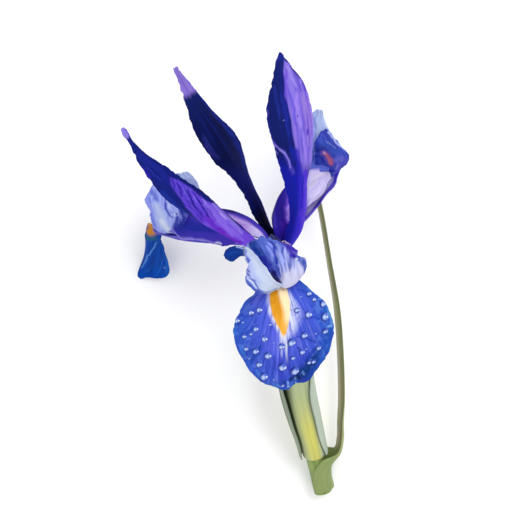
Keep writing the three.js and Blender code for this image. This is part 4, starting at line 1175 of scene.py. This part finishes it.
CREST_LEFT_MARKS = [
    ([(-5.8, 17.6), (-6.9, 15), (-7.2, 12.6), (-5.8, 9.6)], 0.9, "7d94dc", 0.8),
    ([(-4.8, 17), (-3.2, 15.8), (-2.4, 14.4)], 1.4, "6270cc", 0.9),
    ([(-5.6, 14.6), (-4.4, 12.8)], 0.5, "5b6ccc", 0.7),
    ([(-1.8, 17.6), (-0.8, 15)], 0.8, "95a0f0", 0.7),
    ([(-2.7, 12.1), (-1.2, 8), (0.4, 4), (1.4, 1.8)], 2.2, "b9c6ec", 0.9),
    ([(-0.8, 6.4), (0.8, 3.4), (1.8, 1)], 1.3, "d2daee", 0.9),
    ([(-4.6, 7.8), (-3.9, 5.3), (-2.4, 2.3)], 0.8, "6a72d0", 0.8),
    ([(-3.6, 12.4), (-2.8, 8.8)], 0.35, "7886dc", 0.6),
    ([(6.6, 11.2), (7.6, 9), (6.6, 6.6), (5, 4), (4.6, 1)], 2.3, "1f2a98", 1),
    ([(4.8, 8.4), (4.2, 5.6), (3.8, 2)], 1.1, "3038a4", 0.95),
    # The small curl: painted shade along its lower side, pale strokes, then a painted highlight with
    # painted shade beside it.
    ([(0.7, 14.6), (0.7, 11.4), (1.8, 8.9), (3.4, 7.9)], 0.5, "3f46b4", 0.95),
    ([(1.6, 13.4), (1.8, 11.2)], 0.6, "c0c8f6", 0.8),
    ([(3.2, 12.8), (3.6, 10.6)], 0.9, "93a0ea", 0.8),
    ([(3.4, 9.4), (3.6, 9)], 0.4, "e4e8fc", 0.9),
    ([(4.4, 9.9), (4.7, 9.2)], 0.45, "1c2286", 0.9),
    ([(2.6, 9.6), (2.3, 10.8)], 0.3, "5a64c8", 0.8),
]


def paint_crest_left(t, v, across, along):
    """Pale periwinkle with a milky band near its foot, a deep blue margin low on the right and a small
    curl drawn with painted highlight and shade.
    """
    streak = fibres(v * 7 + 20, along * 0.12, 91)
    face = over("8a97e6", "a0acee", ease(streak, 0.4, 0.7))
    face = over(face, "6f7cd6", ease(fibres(v * 20 + 50, along * 0.2, 93), 0.6, 0.85) * 0.4)
    face = brushed(face, across, along, CREST_LEFT_MARKS)
    back = over("8592e2", "6a78cc", ease(streak, 0.45, 0.75))
    return face, back


ARM_RIGHT_MARKS = [
    # Painted shade on the bulge where the arm passes behind the right standard.
    ([(-2, 24), (-3.9, 16.7), (-3.4, 10)], 3, "17135e", 0.95),
    ([(-1, 16), (0.4, 9.1), (0.6, 6)], 0.5, "3f34a8", 0.8),
    # Painted highlights along the bulge.
    ([(3.2, 19.6), (3.8, 15.4), (5, 10.4), (5.2, 7.4)], 1.5, "7d4cdc", 1),
    ([(3.6, 17), (4.7, 12), (5.2, 8.6)], 0.7, "ae90f2", 1),
    ([(3, 8), (3.4, 4), (2.4, 1.5)], 1.2, "4a1ca8", 0.8),
    ([(5.8, 38), (8.4, 31.5), (9.4, 26.4)], 0.5, "dad2f6", 0.7),
    ([(2.4, 37.6), (4.4, 33), (5, 29.6)], 1, "cfcadc", 0.8),
    ([(3.6, 38.6), (6.2, 33), (7.4, 27.6)], 0.4, "b2a4e6", 0.6),
    ([(0.2, 35.4), (0.3, 39.8), (1.4, 42)], 0.8, "8f86e2", 0.9),
]


def paint_arm_right(t, v, across, along):
    """A pale lavender near flank, partly painted light, edged with violet, a far flank darker with
    painted shade, a darker foot and painted highlights on the bulge.
    """
    # Painted shade darkens the far flank, turned from the light behind the right standard.
    face = over("2a1698", "120e56", ease(-v, -0.1, 0.4) * 0.95)
    face = over(face, "5e50c0", ease(along, 16, 24) * ease(across, 0, 3))
    # Painted light on the near flank, which faces the light, over its pale lavender.
    pale = ease(along + 1.03 * across, 31, 36) * ease(63 - along - 2.66 * across, -1.5, 4)
    face = over(face, "c6bde6", pale * ease(across, -0.6, 0.4))
    face = brushed(face, across, along, ARM_RIGHT_MARKS)
    face = veined(face, v, along, "2a2090", 0.2, 12, 95)
    return face, over("b8aae8", "7a6ccc", ease(np.abs(v), 0.3, 1))


CREST_RIGHT_MARKS = [
    ([(-3.6, 19.1), (-6.9, 14.7), (-6.4, 8.6), (-6, 3.6)], 1.7, "2433a0", 0.9),
    ([(-3, 17.5), (-1.5, 13.2), (0.7, 10.1)], 1.6, "3c55bd", 0.9),
    ([(-1.2, 16.4), (0.6, 12.6)], 0.45, "7085da", 0.8),
    ([(-3.4, 14.4), (-1.6, 10.8)], 0.4, "2a3ea8", 0.8),
    ([(-0.2, 8.1), (2.1, 9.2)], 1.4, "6c68c8", 0.7),
    ([(3.4, 8.6), (2.3, 2.7)], 1.8, "5a50c0", 0.7),
    ([(1.4, 7.6), (1, 4.8)], 0.5, "8074d6", 0.8),
    # A painted rosy glow of light through the crest from the signal below.
    ([(-4.2, 12.2), (-2.9, 8.8), (-1, 6.4)], 2, "7a4a98", 0.9),
    ([(-3.4, 10.4), (-2.5, 8.2), (-1.2, 6.6)], 1.2, "c0606e", 0.9),
    ([(-4.1, 12), (-3.5, 10.6)], 0.5, "c8a0cc", 0.8),
    # Painted shade in the crease at the foot.
    ([(-4.8, 7.2), (-3.5, 5.1)], 0.8, "141c86", 0.9),
    ([(-0.8, 3), (1.5, 4.5)], 0.6, "2018a0", 0.9),
    # Painted highlights along the lit right margin.
    ([(0.4, 18.8), (1.5, 15.6), (2, 13), (4.2, 10.4)], 0.5, "b8c6f4", 0.8),
    ([(5, 9.2), (5.1, 8.5)], 0.6, "e6eafc", 0.9),
]


def paint_crest_right_near(t, v, across, along):
    """Blue with a painted rosy glow of light through it where the signal below shows through, painted
    shade in the crease at its foot, and a fine line of painted highlight on the right.
    """
    streak = fibres(v * 7 + 20, along * 0.14, 97)
    face = over("3344ac", "4f5cc8", ease(streak, 0.45, 0.75))
    face = brushed(face, across, along, CREST_RIGHT_MARKS)
    return face, over("7682da", "5563c4", ease(streak, 0.45, 0.75))


def paint_crest_far(t, v, across, along):
    """Pale blue-white, bluer towards its foot."""
    streak = fibres(v * 7 + 20, along * 0.14, 99)
    face = layered("b2c2ea", [
        ("97a9e4", ease(streak, 0.45, 0.75)),
        ("6a78d2", stroke(across, along, [(-2.6, 21.4), (-1.8, 19.6), (-0.8, 17)], 0.8) * 0.7),
        ("5a68ca", 1 - ease(t, 0.25, 0.6))])
    return face, face * 0.9


def relief_crest(t, v, across, along):
    """Fine ribs and a frilled margin."""
    ribs = 0.14 * (fibres(v * 12 + 20, along * 0.14, 91) - 0.5)
    rim = np.maximum(ease(t, 0.75, 1), ease(np.abs(v), 0.75, 1)) * ease(t, 0.1, 0.3)
    return ribs + 0.32 * rim * np.sin(v * 15 + t * 17) + 0.5 * (mottle(v * 2 + 9, t * 3, 92) - 0.5)


# ---------------------------------------------------------------- bracts, leaf, stem, stamens

def paint_spathe(t, v, across, along):
    """Soft green with fine parallel veins, yellower low down, grey-green on the right, and painted
    shadow on the left, cast by the outer valve's edge and the fall above.

    Both faces are alike.
    """
    line = fibres(v * 26 + 60, along * 0.03, 101)
    face = layered("aebb8c", [
        ("d3ce62", hump(v, 0.1, 0.7) * ease(t, 0.38, 0.66)),
        ("84926a", ease(line, 0.45, 0.75) * 0.35),
        ("b5c2b4", ease(v, 0.3, 0.7) * 0.85),
        # Painted shadow on the left, wide at the top and narrowing lower down.
        ("46553a", ease(-v - 0.5 * ease(t, 0.35, 0.75), 0.1, 0.5) * 0.9),
        ("93a18c", ease(-v, 0.78, 0.92) * 0.9),
        ("5f6d4f", ease(np.abs(v), 0.965, 1) * 0.6)])
    return face, face


def relief_spathe(t, v, across, along):
    """Fine parallel ribs."""
    return 0.10 * (fibres(v * 26 + 60, along * 0.03, 101) - 0.5)


def paint_leaf(t, v, across, along):
    """Olive green with dull brown-violet streaks and parallel veins, paler along its left margin."""
    line = fibres(v * 6 + 20, along * 0.04, 105)
    face = layered("8f9366", [
        ("6c7448", ease(line, 0.4, 0.7)),
        ("b2ad95", ease(-v, 0.1, 0.7) * 0.8),
        ("646d48", ease(v, 0.4, 0.9) * 0.8),
        ("8c7f66", ease(mottle(v * 2 + 5, along * 0.08, 107), 0.5, 0.8) * 0.5)])
    back = over("9ba36c", "727b4c", ease(line, 0.4, 0.7))
    face = over(face, "7f8f4c", 1 - ease(t, 0.18, 0.34))
    return face, over(back, "86975a", 1 - ease(t, 0.18, 0.34))


def relief_leaf(t, v, across, along):
    """Parallel ribs along the blade."""
    return 0.09 * (fibres(v * 6 + 20, along * 0.04, 105) - 0.5)


def paint_stem(t, angle):
    """Fresh green with fine lines, violet where the tube meets the petals."""
    line = mottle(angle * 9 / np.pi + 4, t * 5, 111)
    face = over("8fa45a", "6f8746", ease(line, 0.4, 0.7) * 0.7)
    face = over(face, "6c8a4a", hump(t, 0.42, 0.16) * 0.6)
    return over(face, "4a3c9c", 1 - ease(t, 0.04, 0.16))


def bumps_stem(t, angle):
    """Three low ridges down the ovary and fine lines along the rest."""
    ridges = 0.22 * np.cos(3 * angle) * hump(t, 0.42, 0.2)
    return ridges + 0.04 * (mottle(angle * 9 / np.pi + 4, t * 5, 111) - 0.5)


def paint_stamen(t, angle):
    """A violet filament and a cream anther with darker pollen grooves."""
    face = over("4a36a4", "e9e2b4", ease(t, 0.42, 0.5))
    return over(face, "c7b56a", ease(np.cos(2 * angle), 0.6, 1) * ease(t, 0.48, 0.56) * 0.7)


def bumps_stamen(t, angle):
    """Two grooves along the anther."""
    return -0.14 * ease(np.cos(2 * angle), 0.5, 1) * ease(t, 0.45, 0.55) * (1 - ease(t, 0.92, 1))


# ---------------------------------------------------------------- finishes

def tinted(name):
    """A new material, its nodes, its shader and the colour that the tint attribute gives it."""
    material = bpy.data.materials.new(name)
    material.use_nodes = True
    tree = material.node_tree
    tint = tree.nodes.new("ShaderNodeAttribute")
    tint.attribute_name = "tint"
    return material, tree, tree.nodes["Principled BSDF"], tint.outputs["Color"]


def set_inputs(node, values):
    """Fixed values for some of a node's inputs."""
    for socket, value in values.items():
        node.inputs[socket].default_value = value


def add_node(tree, kind, values):
    """A new shader node of a kind, with fixed values for some of its inputs."""
    node = tree.nodes.new("ShaderNode" + kind)
    set_inputs(node, values)
    return node


def finish_of(name, roughness, gloss, grain, depth, contrast):
    """A finish that takes its colour from the tint attribute.

    Fine fibres along the piece's own place map lighten and darken it and stand up in its bump,
    over a grain of cells in the object's coordinates.
    """
    material, tree, shader, colour = tinted(name)
    set_inputs(shader, {"Specular IOR Level": gloss})
    place = add_node(tree, "UVMap", {})
    place.uv_map = "place"
    stretch = add_node(tree, "Mapping", {"Scale": (*grain, 1)})
    fibre = add_node(tree, "TexNoise", {"Scale": 1, "Detail": 4})
    coordinates = add_node(tree, "TexCoord", {})
    cells = add_node(tree, "TexNoise", {"Scale": 2600, "Detail": 2})
    shade = add_node(tree, "MapRange", {"From Min": 0.3, "From Max": 0.7})
    set_inputs(shade, {"To Min": 1 - contrast, "To Max": 1 + contrast})
    coloured = add_node(tree, "VectorMath", {})
    coloured.operation = "SCALE"
    rough = add_node(tree, "MapRange", {"To Min": roughness - 0.08, "To Max": roughness + 0.08})
    raised = add_node(tree, "Math", {1: 0.35})
    raised.operation = "MULTIPLY_ADD"
    bump = add_node(tree, "Bump", {"Strength": 0.6, "Distance": depth * MM})
    for output, socket in (
            (place.outputs["UV"], stretch.inputs["Vector"]),
            (stretch.outputs["Vector"], fibre.inputs["Vector"]),
            (coordinates.outputs["Object"], cells.inputs["Vector"]),
            (fibre.outputs["Fac"], shade.inputs["Value"]),
            (colour, coloured.inputs[0]),
            (shade.outputs["Result"], coloured.inputs["Scale"]),
            (coloured.outputs["Vector"], shader.inputs["Base Color"]),
            (cells.outputs["Fac"], rough.inputs["Value"]),
            (rough.outputs["Result"], shader.inputs["Roughness"]),
            (cells.outputs["Fac"], raised.inputs[0]),
            (fibre.outputs["Fac"], raised.inputs[2]),
            (raised.outputs["Value"], bump.inputs["Height"]),
            (bump.outputs["Normal"], shader.inputs["Normal"])):
        tree.links.new(output, socket)
    return material


def water():
    """Half clear water that takes its colour, with its painted light, shade and highlight, from the tint
    attribute.
    """
    material, tree, shader, colour = tinted("water")
    tree.links.new(colour, shader.inputs["Base Color"])
    set_inputs(shader, {"Roughness": 0.05, "IOR": 1.33})
    set_inputs(shader, {"Specular IOR Level": 0.15, "Transmission Weight": 0.12})
    return material


petal_finish = finish_of("petal", 0.6, 0.05, (70, 5), 0.10, 0.10)
crest_finish = finish_of("style_crest", 0.55, 0.08, (46, 4), 0.10, 0.07)
bract_finish = finish_of("papery_bract", 0.6, 0.3, (90, 3), 0.08, 0.08)
leaf_finish = finish_of("leaf", 0.5, 0.3, (30, 12), 0.08, 0.10)
stem_finish = finish_of("stem", 0.5, 0.3, (40, 10), 0.06, 0.08)
stamen_finish = finish_of("anther", 0.8, 0.2, (16, 60), 0.10, 0.12)

# ---------------------------------------------------------------- the flower

# The thickness of the blades and of their fine edges, in millimetres.
PETAL_THICKNESS, ARM_THICKNESS, BRACT_THICKNESS = 0.6, 0.55, 0.55
FINE_EDGE, BRACT_EDGE = 0.14, 0.2

# Each blade is (stations, grid along and across, paint, relief, rag, nicks).
RIGHT_NICKS = [(0.13, -1, -1.1, 0.1), (0.45, 1, -0.7, 0.06), (0.965, 1, 0.7, 0.02), (0.90, 1, 0.5, 0.02)]
PETALS = {
    "fall_front": (FALL_FRONT, (250, 140), paint_fall_front, relief_fall_front, 0.5, []),
    "fall_left": (FALL_LEFT, (160, 50), paint_fall_left, relief_petal, 0.5, []),
    "fall_right": (FALL_RIGHT, (160, 50), paint_fall_right, relief_petal, 0.5, []),
    "standard_right": (STANDARD_RIGHT, (240, 76), paint_standard_right, relief_standard_right, 0.6,
                       RIGHT_NICKS),
    "standard_middle": (STANDARD_MIDDLE, (240, 70), paint_standard_middle, relief_petal, 0.6, []),
    "standard_left": (STANDARD_LEFT, (240, 76), paint_standard_left, relief_standard_left, 0.6, []),
}
for name, (blade, size, *dress) in PETALS.items():
    skin = blade_skin(blade, size, PETAL_THICKNESS, FINE_EDGE, *dress)
    make_piece(name + "_petal", [skin], petal_finish, name)

FAN_NICKS = [(0.41, 1, 1.5, 0.055), (0.66, 1, 0.3, 0.08), (0.78, 1, 1.6, 0.26), (0.75, 0, 2.6, 0.6)]
PANEL_NICKS = [(0.385, -1, 0.8, 0.035), (0.315, -1, 0.5, 0.025)]
STYLES = {
    "style_front": [
        (ARM_FRONT, (90, 50), paint_arm_front, relief_petal, 0.3, []),
        (CREST_FRONT_FAN, (160, 110), paint_crest_fan, relief_crest_fan, 0.4, FAN_NICKS),
        (CREST_FRONT_PANEL, (150, 60), paint_crest_panel, relief_crest_panel, 0.5, PANEL_NICKS)],
    "style_left": [
        (ARM_LEFT, (110, 64), paint_arm_left, relief_petal, 0.3, []),
        (CREST_LEFT_NEAR, (110, 72), paint_crest_left, relief_crest, 0.8, []),
        (CREST_LEFT_FAR, (70, 40), paint_crest_far, relief_crest, 0.6, [])],
    "style_right": [
        (ARM_RIGHT, (110, 64), paint_arm_right, relief_petal, 0.3, [(0.12, 1, -1.3, 0.12)]),
        (CREST_RIGHT_NEAR, (110, 72), paint_crest_right_near, relief_crest, 0.8, []),
        (CREST_RIGHT_FAR, (70, 40), paint_crest_far, relief_crest, 0.6, [(0.12, -1, -1.2, 0.12)])],
}
for name, parts in STYLES.items():
    skins = [blade_skin(blade, size, ARM_THICKNESS, FINE_EDGE, *dress) for blade, size, *dress in parts]
    make_piece(name + "_arm", skins, crest_finish, name)

BRACTS = {
    "spathe_outer": (SPATHE_OUTER, (100, 80), paint_spathe, relief_spathe, bract_finish, "spathe"),
    "spathe_inner": (SPATHE_INNER, (100, 70), paint_spathe, relief_spathe, bract_finish, "spathe"),
    "leaf": (LEAF, (240, 26), paint_leaf, relief_leaf, leaf_finish, "leaf"),
}
for name, (blade, size, paint, relief, finish, slot) in BRACTS.items():
    skin = blade_skin(blade, size, BRACT_THICKNESS, BRACT_EDGE, paint, relief)
    make_piece(name + "_blade", [skin], finish, name)

make_piece("stem_rod", [rod_skin(STEM, (200, 48), paint_stem, bumps_stem)], stem_finish, "stem")
for side, stations in (("front", STAMEN_FRONT), ("left", STAMEN_LEFT), ("right", STAMEN_RIGHT)):
    skin = rod_skin(stations, (60, 20), paint_stamen, bumps_stamen)
    make_piece("stamen_" + side + "_rod", [skin], stamen_finish, "stamen_" + side)

# ---------------------------------------------------------------- water drops on the front fall

# Each drop is [x, y, radius]: its place as seen from straight above, in millimetres from the
# throat, and the radius of its bright body of painted light.
DROPS = [
    [-6, -24.7, 0.78], [-3.5, -23.8, 0.84], [-10.4, -27.3, 0.74], [-8.8, -27.7, 0.30],
    [-4.7, -29.6, 0.74], [-8.4, -32, 0.61], [-6.3, -31.3, 0.44], [-1.9, -32.6, 0.88],
    [-7.9, -36, 0.64], [-4.9, -36.6, 0.88], [-0.8, -38.1, 0.95], [-3.7, -41.2, 0.81],
    [-2.2, -45, 1.05], [3.9, -41.8, 1.12], [7.7, -43.2, 1.12], [7.1, -38.8, 0.64],
    [10.1, -36.9, 0.74], [6.7, -33.7, 1.08], [3.6, -35, 0.84], [10.8, -31.3, 0.88],
    [12.1, -24.9, 0.95], [12.2, -18.6, 0.68], [13.8, -20.2, 0.57], [16.5, -21.6, 0.84],
    [17.2, -25.8, 1.01], [17.4, -30, 0.81], [15.4, -35.7, 0.68], [12.2, -40.4, 0.61],
    [13.8, -40.2, 0.61], [8.4, -23.6, 0.68], [-0.2, -28.2, 0.37], [14.4, -30.9, 0.30],
    [3.9, -48, 0.61], [5.6, -48.2, 0.51], [9.6, -19.4, 0.24], [11.3, -35.9, 0.27],
    [1, -33.9, 0.24], [-6.9, -39.2, 0.24], [8.4, -47.1, 0.44], [1, -46.2, 0.24],
]
# How far a drop reaches beyond its bright body, how long it is for its width, and its height above
# and below its middle as shares of its radius.
DROP_REACH, DROP_LENGTH = 1.25, 1.15
DROP_TOP, DROP_BOTTOM = 0.72, 0.16
# How far above the middle of the fall's thickness a drop's middle lies, in millimetres.
DROP_LIFT = 0.24
DROP_RINGS, DROP_CORNERS = 14, 28


def drop_painted_light_and_shade(ring, turn):
    """Painted light and shade on a drop: a pale body of painted light in a dark outline of painted shade
    that fades at the upper right, and a small white painted highlight.

    The ring is the distance from the drop's middle as a share of its radius, the turn the angle.
    """
    right, high = -ring * np.cos(turn), ring * np.sin(turn)
    middle = np.hypot(right + 0.18, high + 0.1)
    glint = np.hypot(right - 0.62, high - 0.2)
    # Painted light on the body, painted shade in the outline and a painted highlight for the glint.
    return layered("5a74dc", [
        ("bcd2f8", 1 - ease(middle, 0.25, 0.62)),
        ("15267e", ease(ring, 0.66, 0.88) * (0.9 - 0.6 * ease(right + high, 0, 0.9))),
        ("ffffff", 1 - ease(glint, 0.1, 0.34))])


def drops_skins():
    """Low domes, a little longer than wide, each sitting on the fall where its x and y meet it."""
    t, v = np.linspace(0.3, 1, 300), np.linspace(-1, 1, 161)
    grid_t, grid_v = np.meshgrid(t, v, indexing="ij")
    rise = relief_fall_front(grid_t, grid_v, *spread(FALL_FRONT, t, v))
    surface = blade_surface(FALL_FRONT, t, v, rise)
    normal = normals_of(surface)
    turn = np.linspace(0, 2 * np.pi, DROP_CORNERS, endpoint=False)[None, :]
    lean = np.linspace(0, np.pi, DROP_RINGS)[:, None]
    ring, level = np.sin(lean), np.cos(lean)
    height = np.where(level > 0, DROP_TOP, DROP_BOTTOM) * level
    # The painted light and shade that every drop carries in its tint.
    shade = drop_painted_light_and_shade(ring, turn).reshape(-1, 3)
    skins = []
    for x, y, body in DROPS:
        radius = DROP_REACH * body
        distance = np.hypot(surface[..., 0] - x, surface[..., 1] - y)
        i, j = np.unravel_index(distance.argmin(), distance.shape)
        up = normal[i, j]
        side = unit(np.cross(up, [0.3, 1, 0]))
        ahead = np.cross(side, up)
        points = (surface[i, j] + up * DROP_LIFT
                  + radius * ring[..., None] * np.cos(turn)[..., None] * side
                  + DROP_LENGTH * radius * ring[..., None] * np.sin(turn)[..., None] * ahead
                  + radius * height[..., None] * up)
        flat = points.reshape(-1, 3)
        skins.append(Skin(flat, ring_faces(DROP_RINGS, DROP_CORNERS), np.zeros((len(flat), 2)), shade))
    return skins


make_piece("water_drops", drops_skins(), water(), None)

# ---------------------------------------------------------------- floor, lights, camera

scene = bpy.context.scene
scene.view_settings.view_transform = "Standard"

FLOOR_REACH = 4
CORNERS = [(-1, -1), (1, -1), (1, 1), (-1, 1)]
floor_mesh = bpy.data.meshes.new("floor")
floor_mesh.from_pydata([(x * FLOOR_REACH, y * FLOOR_REACH, 0) for x, y in CORNERS], [], [(0, 1, 2, 3)])
floor = bpy.data.objects.new("floor", floor_mesh)
scene.collection.objects.link(floor)
pale = bpy.data.materials.new("pale_floor")
pale.use_nodes = True
pale_shader = pale.node_tree.nodes["Principled BSDF"]
set_inputs(pale_shader, {"Base Color": (0.95, 0.95, 0.95, 1), "Roughness": 0.9})
floor_mesh.materials.append(pale)

world = bpy.data.worlds.new("studio")
world.use_nodes = True
set_inputs(world.node_tree.nodes["Background"], {"Color": (1, 1, 1, 1), "Strength": 0.95})
scene.world = world

# The point that both lights are turned towards, inside the flower.
FLOWER_MIDDLE = (0, 0, 0.04)


def add_softbox(name, place, size, power):
    """A square soft light of a size in metres and a power in watts, turned to the flower's middle."""
    light = bpy.data.lights.new(name, "AREA")
    light.size, light.energy = size, power
    box = bpy.data.objects.new(name, light)
    box.location = place
    away = np.array(place) - np.array(FLOWER_MIDDLE)
    box.rotation_euler = Vector(away).to_track_quat("Z", "Y").to_euler()
    scene.collection.objects.link(box)


add_softbox("key", (0.30, 0.34, 0.85), 0.45, 4)
add_softbox("fill", (-0.5, -0.4, 0.7), 0.7, 1)

# Unturned, the camera looks straight down. Its lens and sensor are in millimetres.
camera_data = bpy.data.cameras.new("camera")
camera_data.lens, camera_data.sensor_width = 150, 36
camera_data.clip_start, camera_data.clip_end = 0.01, 20
camera = bpy.data.objects.new("camera", camera_data)
camera.location = (0.00554, 0.00958, 0.76995)
scene.collection.objects.link(camera)
scene.camera = camera
